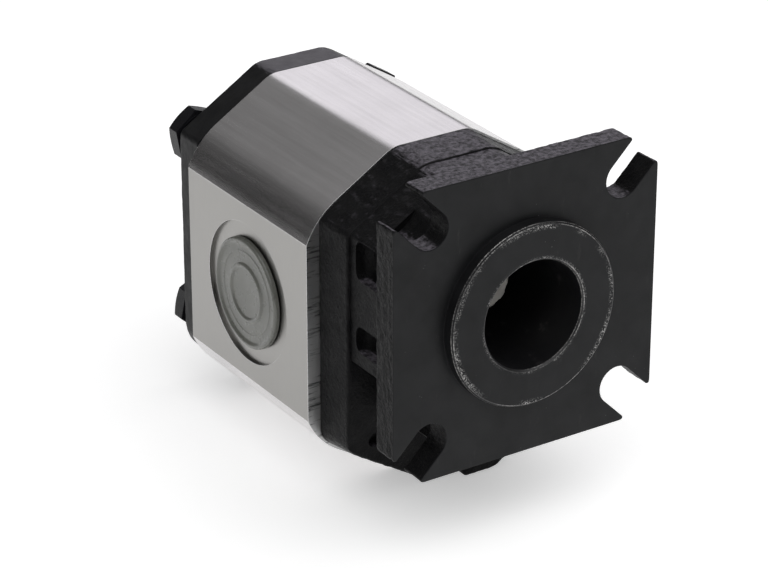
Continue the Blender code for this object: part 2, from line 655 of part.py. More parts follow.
# ---------------------------------------------------------------- bearing blocks, liners and seals
def make_bearing_block(name, y_front, seal_side):
    """One piece that carries both shafts on one side of the gears, grooved for its balance seal."""
    y_back = y_front + BLOCK_LENGTH
    block = extruded(name, [figure_eight(GEAR_BORE - GAP, 20)], y_front, y_back, PARTS)
    for label, z in (("drive", Z_SHAFT), ("driven", Z_DRIVEN)):
        cut(block, rod(f"{name}_{label}_bore", LINER_OUTER + GAP, (0.0, z), y_front - OVERLAP,
                       y_back + OVERLAP, steps=28))
    face = y_front if seal_side < 0 else y_back
    depth = face - seal_side * BALANCE_GROOVE
    outside = face + seal_side * OVERLAP
    groove = extruded(name + "_groove", balance_outlines(0.0), min(depth, outside), max(depth, outside))
    cut(block, groove)
    return finish_piece(block, BEARING_ALLOY)


def balance_outlines(inset):
    """Outer figure eight and the two rings inside it, each drawn in by the inset."""
    return [figure_eight(BALANCE_OUTER - inset, 12), circle((0.0, Z_SHAFT), BALANCE_INNER + inset, 16),
            circle((0.0, Z_DRIVEN), BALANCE_INNER + inset, 16)]


def make_balance_seals(name, face, seal_side):
    """A rubber seal at the groove's floor, with a nylon backup ring on top of it."""
    floor = face - seal_side * BALANCE_GROOVE
    low = floor + seal_side * GAP
    high = low + seal_side * BALANCE_SEAL
    seal = extruded("balance_seal_" + name, balance_outlines(GAP), min(low, high), max(low, high), PARTS)
    finish_piece(seal, RUBBER)
    low = high + seal_side * GAP
    high = low + seal_side * BACKUP_THICKNESS
    backup = extruded("backup_ring_" + name, balance_outlines(GAP), min(low, high), max(low, high), PARTS)
    finish_piece(backup, NYLON)


def make_liners(name, y_front):
    for label, z in (("drive", Z_SHAFT), ("driven", Z_DRIVEN)):
        liner = turned(f"liner_{name}_{label}",
                       [(LINER_OUTER, y_front + BLOCK_LENGTH - GAP), (LINER_OUTER, y_front + GAP),
                        (LINER_BORE, y_front + GAP), (LINER_BORE, y_front + BLOCK_LENGTH - GAP)],
                       (0.0, 0.0, z), PARTS)
        finish_piece(liner, BRONZE)


def make_body_seal(name, y_front, y_back):
    outlines = [stadium(BODY_SEAL_OUTER - GAP, 12), stadium(BODY_SEAL_INNER + GAP, 12)]
    return finish_piece(extruded("body_seal_" + name, outlines, y_front, y_back, PARTS), RUBBER)


def make_shaft_seal():
    """Lip seal: a pressed case with a rubber lip, open towards the gears."""
    back = Y_SEAT - GAP
    front = back - SEAL_LENGTH + GAP
    outer = BORE_RADIUS - GAP
    profile = [(outer, back), (outer, front), (SEAL_LIP_RADIUS + 0.0012, front),
               (SEAL_LIP_RADIUS, front + 0.0030), (SEAL_LIP_RADIUS + 0.0010, back - 0.0010),
               (SEAL_LIP_RADIUS + 0.0021, back - 0.0010), (SEAL_LIP_RADIUS + 0.0024, front + SEAL_WALL),
               (outer - SEAL_WALL, front + SEAL_WALL), (outer - SEAL_WALL, back)]
    return finish_piece(turned("shaft_seal", profile, (0.0, 0.0, Z_SHAFT), PARTS), RUBBER)


def make_seal_spring():
    """Garter spring round the seal's lip, kept as a plain ring."""
    radius = 0.0006
    centre = (SEAL_LIP_RADIUS + 0.0036, Y_SEAT - 0.0026)
    profile = arc(centre, radius, 90, -210, 5)
    return finish_piece(turned("seal_spring", profile, (0.0, 0.0, Z_SHAFT), PARTS, steps=24), SPRING_STEEL)


def make_circlip():
    """Internal circlip with an open gap between two lugs at the bottom."""
    groove_back = Y_SEAT - SEAL_LENGTH - 2 * GAP
    back = groove_back - GAP
    inner = CIRCLIP_RADIUS - CIRCLIP_WIDTH
    outline = arc((0.0, 0.0), CIRCLIP_RADIUS, -78, 258, 26)
    outline += arc((0.0, 0.0), inner - 0.0022, 258, 246, 2)
    outline += arc((0.0, 0.0), inner, 240, -60, 22)
    outline += arc((0.0, 0.0), inner - 0.0022, -66, -78, 2)
    return finish_piece(extruded("seal_circlip", [outline], back - CIRCLIP_THICKNESS, back, PARTS,
                                 (0.0, Z_SHAFT)), SPRING_STEEL)


# ---------------------------------------------------------------- port caps
def make_port_cap(name, side):
    """Push-in cap: a ringed disc in the spotface with a hollow skirt down the port thread."""
    seat = BODY_HALF_WIDTH - PORT_SPOTFACE_DEPTH + GAP
    top = seat + CAP_THICKNESS
    ring = 0.0005
    profile = [(0.0, top - ring), (0.0085, top - ring), (0.0093, top), (CAP_RADIUS - ring, top),
               (CAP_RADIUS, top - ring), (CAP_RADIUS, seat), (CAP_SKIRT, seat),
               (CAP_SKIRT, seat - CAP_SKIRT_LENGTH), (CAP_SKIRT - 0.0018, seat - CAP_SKIRT_LENGTH),
               (CAP_SKIRT - 0.0018, seat - 0.0002), (0.0, seat - 0.0002)]
    outward = Matrix.Rotation(side * math.pi / 2, 4, "Y")
    cap = turned("port_cap_" + name, profile, (0.0, Y_PORT, Z_MIDDLE), PARTS, steps=32, axis=outward)
    return finish_piece(cap, PLASTIC)


# ---------------------------------------------------------------- assembly
def build():
    make_front_cover()
    make_body()
    make_rear_cover()
    make_drive_gear()
    make_driven_gear()
    front_block = Y_BODY_FRONT + GAP
    rear_block = Y_BODY_BACK - GAP - BLOCK_LENGTH
    make_bearing_block("bearing_block_front", front_block, -1)
    make_bearing_block("bearing_block_rear", rear_block, 1)
    make_liners("front", front_block)
    make_liners("rear", rear_block)
    make_balance_seals("front", front_block, -1)
    make_balance_seals("rear", rear_block + BLOCK_LENGTH, 1)
    make_body_seal("front", Y_BODY_FRONT - BODY_SEAL_GROOVE, Y_BODY_FRONT - GAP)
    make_body_seal("rear", Y_BODY_BACK + GAP, Y_BODY_BACK + BODY_SEAL_GROOVE)
    make_shaft_seal()
    make_seal_spring()
    make_circlip()
    for name, centre in bolt_places().items():
        make_tie_bolt(name, centre, HEAD_TURNS[name])
    make_dowels("front", Y_BODY_FRONT)
    make_dowels("rear", Y_BODY_BACK)
    make_port_cap("left", -1)
    make_port_cap("right", 1)


build()
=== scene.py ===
"""The looks of a hydraulic gear pump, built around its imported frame.

Frame: metres, +Z up.  The pump's axis runs along Y, with the mounting face towards -Y.
Sizes are metres; places come from the frame's boxes, joints and mounts.
"""

import json
import math

import bmesh
import bpy
from mathutils import Matrix, Vector, noise


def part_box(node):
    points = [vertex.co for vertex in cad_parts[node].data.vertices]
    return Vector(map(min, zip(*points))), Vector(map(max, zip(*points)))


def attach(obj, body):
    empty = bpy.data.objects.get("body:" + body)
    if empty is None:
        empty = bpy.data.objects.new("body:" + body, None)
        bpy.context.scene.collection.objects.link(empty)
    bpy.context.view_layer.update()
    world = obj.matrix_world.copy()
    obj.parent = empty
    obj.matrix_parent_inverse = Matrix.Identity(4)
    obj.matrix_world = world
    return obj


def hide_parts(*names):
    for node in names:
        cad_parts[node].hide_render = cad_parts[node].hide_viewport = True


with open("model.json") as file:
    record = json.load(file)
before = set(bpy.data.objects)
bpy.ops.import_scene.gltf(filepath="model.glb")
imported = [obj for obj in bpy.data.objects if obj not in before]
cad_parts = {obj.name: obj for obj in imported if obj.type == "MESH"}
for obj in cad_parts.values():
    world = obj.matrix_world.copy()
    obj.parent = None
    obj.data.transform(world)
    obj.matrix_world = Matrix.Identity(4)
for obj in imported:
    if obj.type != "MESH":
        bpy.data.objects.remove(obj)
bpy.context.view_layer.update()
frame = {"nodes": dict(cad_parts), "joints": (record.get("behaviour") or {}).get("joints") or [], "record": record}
record = frame["record"]

# ---------------------------------------------------------------- places read from the frame
JOINTS = {joint["name"]: joint for joint in frame["joints"]}
MOUNTS = {mount["name"]: mount for mount in record["mounts"]}
FRONT_LOW, FRONT_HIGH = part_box("front_cover")
BODY_LOW, BODY_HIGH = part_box("pump_body")
REAR_LOW, REAR_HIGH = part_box("rear_cover")

Z_SHAFT = JOINTS["drive_spin"]["pos_m"][2]
Z_DRIVEN = JOINTS["driven_spin"]["pos_m"][2]
Z_MIDDLE = (Z_SHAFT + Z_DRIVEN) / 2
CENTRE_DISTANCE = Z_SHAFT - Z_DRIVEN
Y_PORT = JOINTS["drive_spin"]["pos_m"][1]
Y_PILOT = FRONT_LOW.y
Y_FLANGE = MOUNTS["flange_face"]["pos_m"][1]
Y_COVER_REAR = FRONT_HIGH.y
Y_BODY_FRONT = BODY_LOW.y
Y_BODY_BACK = BODY_HIGH.y
HEIGHT = BODY_HIGH.z - BODY_LOW.z
BODY_HALF_WIDTH = BODY_HIGH.x
REAR_HALF_WIDTH = REAR_HIGH.x

AIM = Vector((0.0, 0.0, Z_MIDDLE))

# ---------------------------------------------------------------- sizes shared with the CAD (metres)
# flange, corner slots, pilot and bore
FLANGE_THICKNESS = 0.0094
FLANGE_CORNER = 0.013
SLOT_CENTRE = 0.035
SLOT_RADIUS = 0.0063
PILOT_RADIUS = 0.030
BORE_RADIUS = 0.0178
BORE_CHAMFER = 0.0006
SHAFT_HOLE = 0.0100
SEAL_SEAT = 0.0453
SEAL_LENGTH = 0.0070
CIRCLIP_THICKNESS = 0.0012
CIRCLIP_RADIUS = 0.0187

# the eight-sided plates
PLATE_DEPTH = 0.0150
FRONT_HALF_WIDTH = 0.0413
TOP_HALF = 0.013
CHAMFER_ANGLE = math.radians(31.8)
FRONT_UPPER_ROUND = 0.011
FRONT_LOWER_ROUND = 0.007
REAR_UPPER_ROUND = 0.008
REAR_LOWER_ROUND = 0.014
SIDE_ROUND = 0.003
BOTTOM_ROUND = 0.004

# neck between the flange and the front plate
NECK_HALF_WIDTH = 0.0394
NECK_STEP = 0.0225
NECK_LOWER_HALF = 0.0265
NECK_BELOW = 0.0455
NECK_DROP = 0.0013
NECK_ROUND = 0.0015
NECK_CORNER = 0.006
RELIEF_RADIUS = 0.0118
UPPER_RELIEF_DEPTH = 0.0150
RELIEF_RUNOUT = 0.0003
RELIEF_STEP = 0.0015
POCKET_DEPTH = 0.005
POCKET_LENGTH = 0.0215
POCKET_ROUND = 0.003
POCKETS = ((0.0138, 0.0130), (-0.0125, 0.0088))  # height over the shaft, length upwards

# foot and notches under the front plate
FOOT_REACH = 0.0035
FOOT_LEFT = 0.0005
FOOT_RIGHT = 0.0235
FOOT_TOP = 0.013
FOOT_RISE = 0.0005
FOOT_ROUND = 0.002
FOOT_TOE_ROUND = 0.009
NOTCH_RADIUS = 0.0024
NOTCH_DEPTH = 0.003
NOTCH_PLACE = (0.0305, 0.0215)

# body and ports
BODY_ARC_RADIUS = 0.027
BODY_ARC_START = 0.035
GEAR_BORE = 0.02057
PORT_SPOTFACE = 0.0238
PORT_SPOTFACE_DEPTH = 0.0012
PORT_THREAD = 0.0155
PORT_THREAD_DEPTH = 0.018
PORT_PASSAGE = 0.0085

# bolts, dowels and body seals
BOLT_RADIUS = 0.005
BOLT_HOLE = 0.0054
BOLT_ACROSS_FLATS = 0.0168
BOLT_X = 0.0336
BOLT_UPPER = 0.0163
BOLT_LOWER = -0.0448
BOLT_THREAD = 0.0130
HEAD_TURNS = {"upper_left": 39.9, "lower_left": 17.5, "upper_right": 28.2, "lower_right": 49.0}
DOWEL_RADIUS = 0.003
DOWEL_LENGTH = 0.012
DOWEL_PLACES = ((-0.0358, -0.006), (0.0358, -0.029))
BODY_SEAL_OUTER = 0.0246
BODY_SEAL_INNER = 0.0222
BODY_SEAL_GROOVE = 0.0018

# transport caps
CAP_RADIUS = 0.0185
CAP_THICKNESS = 0.0020
CAP_SKIRT = 0.0148

OVERLAP = 0.001
GAP = 0.0003

# ---------------------------------------------------------------- finer details (metres)
KNEE_ROUND = 0.003
TIP_ROUND = 0.00075
SLOT_ROUND = SLOT_RADIUS * 0.998  # just under the slot's own radius, so that its two arcs don't meet
RIDGE_RADIUS = 0.010
BODY_TOP_HALF = 0.0143
PLATE_DRAFT = 0.0007
PLATE_LIFT_FRONT = 0.0018
PLATE_LIFT_REAR = 0.0006
CAST_EDGE = 0.0009
FLANGE_EDGE = 0.0006
MACHINED_EDGE = 0.0003
PILOT_EDGE = 0.00016
BODY_EDGE = 0.00038
REAR_EDGE = 0.0012

# sand-mould skin: mesh length, and waves per metre and depth of its relief
FRONT_MESH = 0.0019
REAR_MESH = 0.0022
CAST_WAVES = 130.0
CAST_GRAIN = 480.0
CAST_DEPTH = 0.00020
WAVE_SHARE, GRAIN_SHARE, SKIN_SINK = 0.45, 0.85, 0.35

# bolt heads, as shares of half the width across flats, and their threads
BOLT_EDGE = 0.00022
WASHER_FACE = 0.0005
WASHER_SHARE = 0.93
HEAD_DISH = 0.0002
DISH_SHARE = 0.62
DISH_RIM_SHARE = 0.70
CHAMFER_SHARE = 0.95
HEAD_SLOPE = math.tan(math.radians(30))
THREAD_RISE = 0.0007
BOLT_PITCH = 0.0015
BOLT_TIP = 0.0004
PORT_PITCH = 0.002

# cap: (radius, height over the seat) across its face, from the middle to the rim
CAP_FACE = (
    (0.0, 0.00125), (0.0080, 0.00125), (0.0084, 0.00150), (0.0087, 0.00185), (0.0091, 0.00195),
    (0.0096, 0.00190), (0.0100, 0.00150), (0.0104, 0.00120), (0.0136, 0.00115), (0.0140, 0.00135),
    (0.0144, 0.00115), (0.0160, 0.00115), (0.0166, 0.00140), (0.0171, 0.00185), (0.0175, 0.00200),
    (0.0180, 0.00190), (0.0184, 0.00155), (CAP_RADIUS, 0.0010), (CAP_RADIUS, 0.0002))
CAP_BRIM_EDGE = 0.0003
SKIRT_SINK = 0.0004
SKIRT_CHAMFER = 0.0006
SKIRT_WALL = 0.0018
RIB_START = 0.0020
RIB_PITCH = 0.0022
RIB_RISE = 0.0004
RIB_LENGTH = 0.0012
WALL_FLARE = 0.0003
WALL_LEAD = 0.0004
CAP_FLOOR = 0.0002

# mesh work: merging distance, and the angle under which neighbouring faces count as one
MERGE = 1e-6
SPIN_MERGE = 1e-7
FLAT_ANGLE = math.radians(0.4)
MOST_CUTS = 9

# choosing faces and edges: nearness to a plane, and how squarely a face looks along an axis
NEAR = 0.0001
CLOSE = 0.0002
FACING = 0.9
SQUARE = 0.99
STRAIGHT = 0.999
BORE_RIM = 0.0014
PILOT_RIM = 0.0015
BORE_MOUTH = 0.01
SPOTFACE_MARGIN = 0.0003
GEAR_BORE_MARGIN = 0.001
REAR_MARGIN = 0.0005
PORT_INNER_END = 0.025

# ---------------------------------------------------------------- colours and studio
# purple-grey laid on upward cast faces: dust together with a painted top light
CASTING_DUST_AND_TOP_LIGHT = (0.150, 0.138, 0.160, 1.0)
CASTING_CHIP = (0.30, 0.28, 0.25, 1.0)
CHIP_SHARE = 0.55
FACE_DUST = (0.42, 0.42, 0.41, 1.0)
FACE_CHIP = (0.62, 0.61, 0.60, 1.0)
FACE_HAZE = (0.20, 0.19, 0.18, 1.0)
# purple-grey on the rear cover's upward faces: dust together with a painted top light
REAR_DUST_AND_TOP_LIGHT = (0.075, 0.070, 0.080, 1.0)
RIM_PAINT = (0.010, 0.010, 0.011, 1.0)
RIM_IRON = (0.42, 0.41, 0.40, 1.0)
BORE_PAINT = (0.006, 0.006, 0.007, 1.0)
BORE_RUB = (0.09, 0.085, 0.085, 1.0)

# chips round the bore and the pilot: the reach of the ramp, and distances from the two edges
RIM_SPAN = 0.040
BORE_BAND = 0.0016
PILOT_BAND = (0.0024, 0.0010, 0.0002)

FLOOR_HALF = 4.0
FLOOR_GLOW = 0.45
SKY = [(0.0, 0.05), (0.42, 0.06), (0.60, 0.27), (1.0, 0.32)]
# name, direction from the pump, distance, size, watts, tint
LIGHTS = (("back_right", (0.49, 0.757, 0.43), 1.3, (0.9, 0.7), 2.1, (0.97, 0.95, 1.0)),
          ("overhead", (0.0, -0.45, 1.0), 2.0, (4.0, 2.6), 40.0, (1.0, 1.0, 1.0)))
CAMERA_AZIMUTH = -33.0
CAMERA_ELEVATION = 25.5
CAMERA_LENS = 151.36
CAMERA_SENSOR = 36.0
CAMERA_CLIP = 0.01
CAMERA_BACK = 0.971808
CAMERA_RIGHT = -0.0429408
CAMERA_UP = 0.0079872

# material places
CAST, MACHINED, WORN, BORED = 0, 1, 2, 3
# the fifth place is turned metal, darker as painted shade in the port recess
# the fourth place colours broken edges near-white as a painted highlight
DRAWN, MILLED, SAWN, EDGE_HIGHLIGHT, SHADED_TURNED = 0, 1, 2, 3, 4

Y_FLANGE_BACK = Y_FLANGE + FLANGE_THICKNESS
Y_PLATE = Y_BODY_FRONT - PLATE_DEPTH


# ---------------------------------------------------------------- outlines (x, z)
def arc(centre, radius, start, end, steps):
    """Points on an arc from start to end, both in degrees and both included."""
    points = []
    for step in range(steps + 1):
        angle = math.radians(start + (end - start) * step / steps)
        points.append((centre[0] + radius * math.cos(angle), centre[1] + radius * math.sin(angle)))
    return points


def rounded(corners, steps):
    """A polygon whose corners, given as (x, z, radius), are rounded by tangent arcs."""
    points = []
    count = len(corners)
    for index, (x, z, radius) in enumerate(corners):
        corner = Vector((x, z))
        before = (Vector(corners[index - 1][:2]) - corner).normalized()
        after = (Vector(corners[(index + 1) % count][:2]) - corner).normalized()
        half = before.angle(after) / 2
        centre = corner + (before + after).normalized() * radius / math.sin(half)
        start = corner + before * radius / math.tan(half) - centre
        turn = start.angle_signed(corner + after * radius / math.tan(half) - centre)
        for step in range(steps + 1):
            spoke = start.copy()
            spoke.rotate(Matrix.Rotation(-turn * step / steps, 2))
            points.append(tuple(centre + spoke))
    return points


def both_sides(right):
    """Corners of the right side from top to bottom, followed by their mirror image."""
    return right + [(-x, z, radius) for x, z, radius in reversed(right)]


def cover_outline(half_width, upper_radius, lower_radius, lift=0.0, inset=0.0, steps=10):
    """The eight-sided cover, drawn in by inset all round; lift raises the lower chamfers."""
    slope = math.tan(CHAMFER_ANGLE)
    width = half_width - inset
    top_half = TOP_HALF - inset * math.tan(CHAMFER_ANGLE / 2)
    top = HEIGHT / 2 - inset
    drop = (width - top_half) * slope
    right = [(top_half, Z_MIDDLE + top, upper_radius),
             (width, Z_MIDDLE + top - drop, SIDE_ROUND),
             (width, Z_MIDDLE - top + drop + lift, lower_radius),
             (top_half - lift / slope, Z_MIDDLE - top, BOTTOM_ROUND)]
    return rounded(both_sides(right), steps)


def neck_outline():
    """Wide beside the shaft, narrow between the two lower slots."""
    top = HEIGHT - NECK_DROP
    drop = (NECK_HALF_WIDTH - TOP_HALF) * math.tan(CHAMFER_ANGLE)
    step = Z_SHAFT - NECK_STEP
    right = [(TOP_HALF, top, FRONT_UPPER_ROUND), (NECK_HALF_WIDTH, top - drop, NECK_ROUND),
             (NECK_HALF_WIDTH, step, NECK_ROUND), (NECK_LOWER_HALF, step, NECK_ROUND),
             (NECK_LOWER_HALF, Z_SHAFT - NECK_BELOW, NECK_CORNER)]
    return rounded(both_sides(right), 8)


def flange_outline():
    """The square flange with its open corner slots; the tips beside each slot are rounded off."""
    lean = math.asin(SLOT_RADIUS / FLANGE_CORNER)
    spare = (math.pi / 4 - lean) / 2
    knee = FLANGE_CORNER / math.cos(spare)
    end = math.hypot(SLOT_RADIUS, SLOT_RADIUS)
    corners = []
    for heading in (45, -45, -135, 135):
        theta = math.radians(heading)
        centre = Vector((math.copysign(SLOT_CENTRE, math.cos(theta)),
                         Z_SHAFT + math.copysign(SLOT_CENTRE, math.sin(theta))))
        for reach, turn, radius in (
                (knee, lean + spare, KNEE_ROUND), (FLANGE_CORNER, lean, TIP_ROUND),
                (end, math.radians(135), SLOT_ROUND), (end, math.radians(-135), SLOT_ROUND),
                (FLANGE_CORNER, -lean, TIP_ROUND), (knee, -lean - spare, KNEE_ROUND)):
            point = centre + Vector((math.cos(theta + turn), math.sin(theta + turn))) * reach
            corners.append((point.x, point.y, radius))
    return rounded(corners, 12)


def body_outline():
    """Chamfers that roll over a wide arc into the milled port faces."""
    normal = math.pi / 2 - CHAMFER_ANGLE
    start_z = HEIGHT / 2 - (BODY_ARC_START - BODY_TOP_HALF) * math.tan(CHAMFER_ANGLE)
    centre = (BODY_ARC_START - BODY_ARC_RADIUS * math.cos(normal),
              start_z - BODY_ARC_RADIUS * math.sin(normal))
    end = math.degrees(math.acos((BODY_HALF_WIDTH - centre[0]) / BODY_ARC_RADIUS))
    ridge = (BODY_TOP_HALF - RIDGE_RADIUS * math.tan(CHAMFER_ANGLE / 2), HEIGHT / 2 - RIDGE_RADIUS)
    upper = arc(ridge, RIDGE_RADIUS, 90, math.degrees(normal), 10)
    upper += arc(centre, BODY_ARC_RADIUS, math.degrees(normal), end, 28)
    right = upper + [(x, -z) for x, z in reversed(upper)]
    return [(x, z + Z_MIDDLE) for x, z in right + [(-x, z) for x, z in reversed(right)]]


def figure_eight(radius, steps):
    """Two equal circles on the gear shafts, joined where they cross."""
    lean = math.degrees(math.asin(CENTRE_DISTANCE / 2 / radius))
    upper = arc((0.0, Z_SHAFT), radius, -lean, 180 + lean, steps)
    lower = arc((0.0, Z_DRIVEN), radius, 180 - lean, 360 + lean, steps)
    return upper[:-1] + lower[:-1]


# ---------------------------------------------------------------- solids
def from_bmesh(name, shell):
    """Makes a scene object of a bmesh, which is used up."""
    bmesh.ops.recalc_face_normals(shell, faces=shell.faces)
    mesh = bpy.data.meshes.new(name)
    shell.to_mesh(mesh)
    shell.free()
    made = bpy.data.objects.new(name, mesh)
    bpy.context.scene.collection.objects.link(made)
    return made


def loft(name, sections):
    """A closed solid along Y through rings with the same number of points: (y, outline)."""
    shell = bmesh.new()
    rings = [[shell.verts.new((x, y, z)) for x, z in outline] for y, outline in sections]
    count = len(rings[0])
    for first, second in zip(rings, rings[1:]):
        for k in range(count):
            after = (k + 1) % count
            shell.faces.new((first[k], first[after], second[after], second[k]))
    shell.faces.new(rings[0])
    shell.faces.new(rings[-1])
    return from_bmesh(name, shell)


def prism(name, outline, y_front, y_back):
    return loft(name, [(y_front, outline), (y_back, outline)])


def turned(name, profile, centre, axis="Y", steps=96):
    """A solid of revolution: (radius, station) points, turned about an axis through centre."""
    shell = bmesh.new()
    if axis == "Y":
        points = [shell.verts.new((radius, station, 0.0)) for radius, station in profile]
        spindle = (0.0, 1.0, 0.0)
    else:
        points = [shell.verts.new((station, radius, 0.0)) for radius, station in profile]
        spindle = (1.0, 0.0, 0.0)
    ends_on_axis = profile[0][0] == 0.0 and profile[-1][0] == 0.0
    edges = [shell.edges.new(pair) for pair in zip(points, points[1:])]
    if not ends_on_axis:
        edges.append(shell.edges.new((points[-1], points[0])))
    bmesh.ops.spin(shell, geom=points + edges, cent=(0, 0, 0), axis=spindle, angle=2 * math.pi,
                   steps=steps, use_merge=True)
    bmesh.ops.remove_doubles(shell, verts=shell.verts, dist=SPIN_MERGE)
    made = from_bmesh(name, shell)
    made.data.transform(Matrix.Translation(centre))
    return made


def rod(name, radius, x, z, y_front, y_back, steps=48):
    return turned(name, [(0.0, y_front), (radius, y_front), (radius, y_back), (0.0, y_back)],
                  (x, 0.0, z), steps=steps)


def settle(piece):
    """Turns a piece's modifiers into its mesh."""
    graph = bpy.context.evaluated_depsgraph_get()
    mesh = bpy.data.meshes.new_from_object(piece.evaluated_get(graph))
    piece.modifiers.clear()
    piece.data = mesh
    return piece


def combine(piece, others, operation):
    """Boolean with each of the others, which are used up."""
    for other in others:
        step = piece.modifiers.new(operation.lower(), "BOOLEAN")
        step.operation = operation
        step.object = other
        step.solver = "EXACT"
        settle(piece)
        bpy.data.objects.remove(other)
    return piece


def soften(piece, width, segments=2, angle=30.0, material_index=0, wanted=None, clamp=True):
    """Rounds the piece's sharp edges, and gives the new faces one of its material places."""
    shell = bmesh.new()
    shell.from_mesh(piece.data)
    bmesh.ops.remove_doubles(shell, verts=shell.verts, dist=MERGE)
    bmesh.ops.dissolve_limit(shell, angle_limit=FLAT_ANGLE, verts=shell.verts[:],
                             edges=shell.edges[:])
    sharp = [edge for edge in shell.edges
             if len(edge.link_faces) == 2 and edge.calc_face_angle(0.0) > math.radians(angle)
             and (wanted is None or wanted(edge))]
    bmesh.ops.bevel(shell, geom=sharp, offset=width, offset_type="OFFSET", segments=segments,
                    profile=0.5, affect="EDGES", clamp_overlap=clamp, material=material_index)
    shell.to_mesh(piece.data)
    shell.free()
    return piece


def smooth(piece, angle=40.0):
    """Smooth shading that keeps flat faces flat."""
    piece.data.shade_smooth()
    piece.data.set_sharp_from_angle(angle=math.radians(angle))
    weighted = piece.modifiers.new("weighted", "WEIGHTED_NORMAL")
    weighted.keep_sharp = True
    return settle(piece)


def divide(shell, wanted, length):
    """Cuts the wanted faces' long edges in half until they are short enough to shape."""
    bmesh.ops.triangulate(shell, faces=[face for face in shell.faces if wanted(face)])
    for _ in range(MOST_CUTS):
        long_edges = {edge for face in shell.faces if wanted(face) for edge in face.edges
                      if edge.calc_length() > length}
        if not long_edges:
            return
        bmesh.ops.subdivide_edges(shell, edges=list(long_edges), cuts=1)
        bmesh.ops.triangulate(shell, faces=[face for face in shell.faces if len(face.verts) > 3])


def roughen(piece, cast_index, length, depth, low, high):
    """Gives the cast faces the waves and grain of a sand mould, inside the box low to high."""
    shell = bmesh.new()
    shell.from_mesh(piece.data)
    divide(shell, lambda face: face.material_index == cast_index, length)
    shell.normal_update()
    for vertex in shell.verts:
        if any(face.material_index != cast_index for face in vertex.link_faces):
            continue
        waves = noise.fractal(vertex.co * CAST_WAVES, 1.0, 2.0, 2)
        grain = noise.fractal(vertex.co * CAST_GRAIN, 0.8, 2.2, 3)
        lift = depth * (WAVE_SHARE * waves + GRAIN_SHARE * grain - SKIN_SINK)
        moved = vertex.co + vertex.normal * lift
        vertex.co = Vector([min(max(value, least), most)
                            for value, least, most in zip(moved, low, high)])
    shell.to_mesh(piece.data)
    shell.free()
    return piece


def paint_faces(piece, choose):
    """Sets each face's material place from its middle and its direction."""
    for polygon in piece.data.polygons:
        index = choose(polygon.center, polygon.normal)
        if index is not None:
            polygon.material_index = index


def finish_piece(piece, body, slot, materials, *nodes):
    """Gives a piece its materials and body, and hides the frame nodes that it stands for."""
    for material in materials:
        piece.data.materials.append(material)
    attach(piece, body)
    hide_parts(*nodes)


# ---------------------------------------------------------------- shared cutters
def bolt_places():
    upper, lower = Z_SHAFT + BOLT_UPPER, Z_SHAFT + BOLT_LOWER
    return {"upper_left": (-BOLT_X, upper), "upper_right": (BOLT_X, upper),
            "lower_left": (-BOLT_X, lower), "lower_right": (BOLT_X, lower)}


def bolt_holes(y_front, y_back):
    return [rod("bolt_hole", BOLT_HOLE, x, z, y_front, y_back) for x, z in bolt_places().values()]


def dowel_holes(y_face):
    half = DOWEL_LENGTH / 2 + GAP
    return [rod("dowel_hole", DOWEL_RADIUS + GAP, x, Z_SHAFT + z, y_face - half, y_face + half, 24)
            for x, z in DOWEL_PLACES]


def seal_groove(y_front, y_back):
    """A racetrack groove round both gear bores."""
    outer = prism("groove_outer", stadium(BODY_SEAL_OUTER), y_front, y_back)
    inner = prism("groove_inner", stadium(BODY_SEAL_INNER), y_front - OVERLAP, y_back + OVERLAP)
    return combine(outer, [inner], "DIFFERENCE")


def stadium(radius):
    return arc((0.0, Z_SHAFT), radius, 0, 180, 24) + arc((0.0, Z_DRIVEN), radius, 180, 360, 24)


# ---------------------------------------------------------------- front cover
def relief_cutters():
    """Nut room behind the slots, scooped into the casting."""
    made = []
    for side in (-1, 1):
        for rise, y_back in ((1, Y_FLANGE_BACK + UPPER_RELIEF_DEPTH), (-1, Y_PLATE - RELIEF_STEP)):
            made.append(rod("relief", RELIEF_RADIUS, side * SLOT_CENTRE, Z_SHAFT + rise * SLOT_CENTRE,
                            Y_FLANGE_BACK - RELIEF_RUNOUT, y_back, 64))
    return made


def pocket_cutters():
    """Cored recesses in both sides of the neck, with round corners."""
    made = []
    front = (Y_FLANGE_BACK + Y_PLATE - POCKET_LENGTH) / 2
    for side in (-1, 1):
        for middle, height in POCKETS:
            shell = bmesh.new()
            bmesh.ops.create_cube(shell, size=1.0)
            bmesh.ops.scale(shell, verts=shell.verts, vec=(2 * POCKET_DEPTH, POCKET_LENGTH, height))
            bmesh.ops.bevel(shell, geom=shell.edges[:], offset=POCKET_ROUND, segments=4,
                            profile=0.5, affect="EDGES")
            made.append(from_bmesh("pocket", shell))
            made[-1].data.transform(Matrix.Translation(
                (side * NECK_HALF_WIDTH, front + POCKET_LENGTH / 2, Z_SHAFT + middle)))
    return made


def shaft_bore_cutter():
    """Coupling bore, ring groove, seal seat and shaft hole in one stepped profile."""
    y_seat = Y_FLANGE + SEAL_SEAT
    groove_back = y_seat - SEAL_LENGTH - 2 * GAP
    groove_front = groove_back - CIRCLIP_THICKNESS - 2 * GAP
    groove_radius = CIRCLIP_RADIUS + GAP
    flare = BORE_RADIUS + BORE_CHAMFER
    return turned("shaft_bore", [
        (0.0, Y_BODY_FRONT + OVERLAP), (SHAFT_HOLE, Y_BODY_FRONT + OVERLAP), (SHAFT_HOLE, y_seat),
        (BORE_RADIUS, y_seat), (BORE_RADIUS, groove_back), (groove_radius, groove_back),
        (groove_radius, groove_front), (BORE_RADIUS, groove_front),
        (BORE_RADIUS, Y_PILOT + BORE_CHAMFER), (flare, Y_PILOT), (flare + OVERLAP, Y_PILOT - OVERLAP),
        (0.0, Y_PILOT - OVERLAP)], (0.0, 0.0, Z_SHAFT), steps=96)


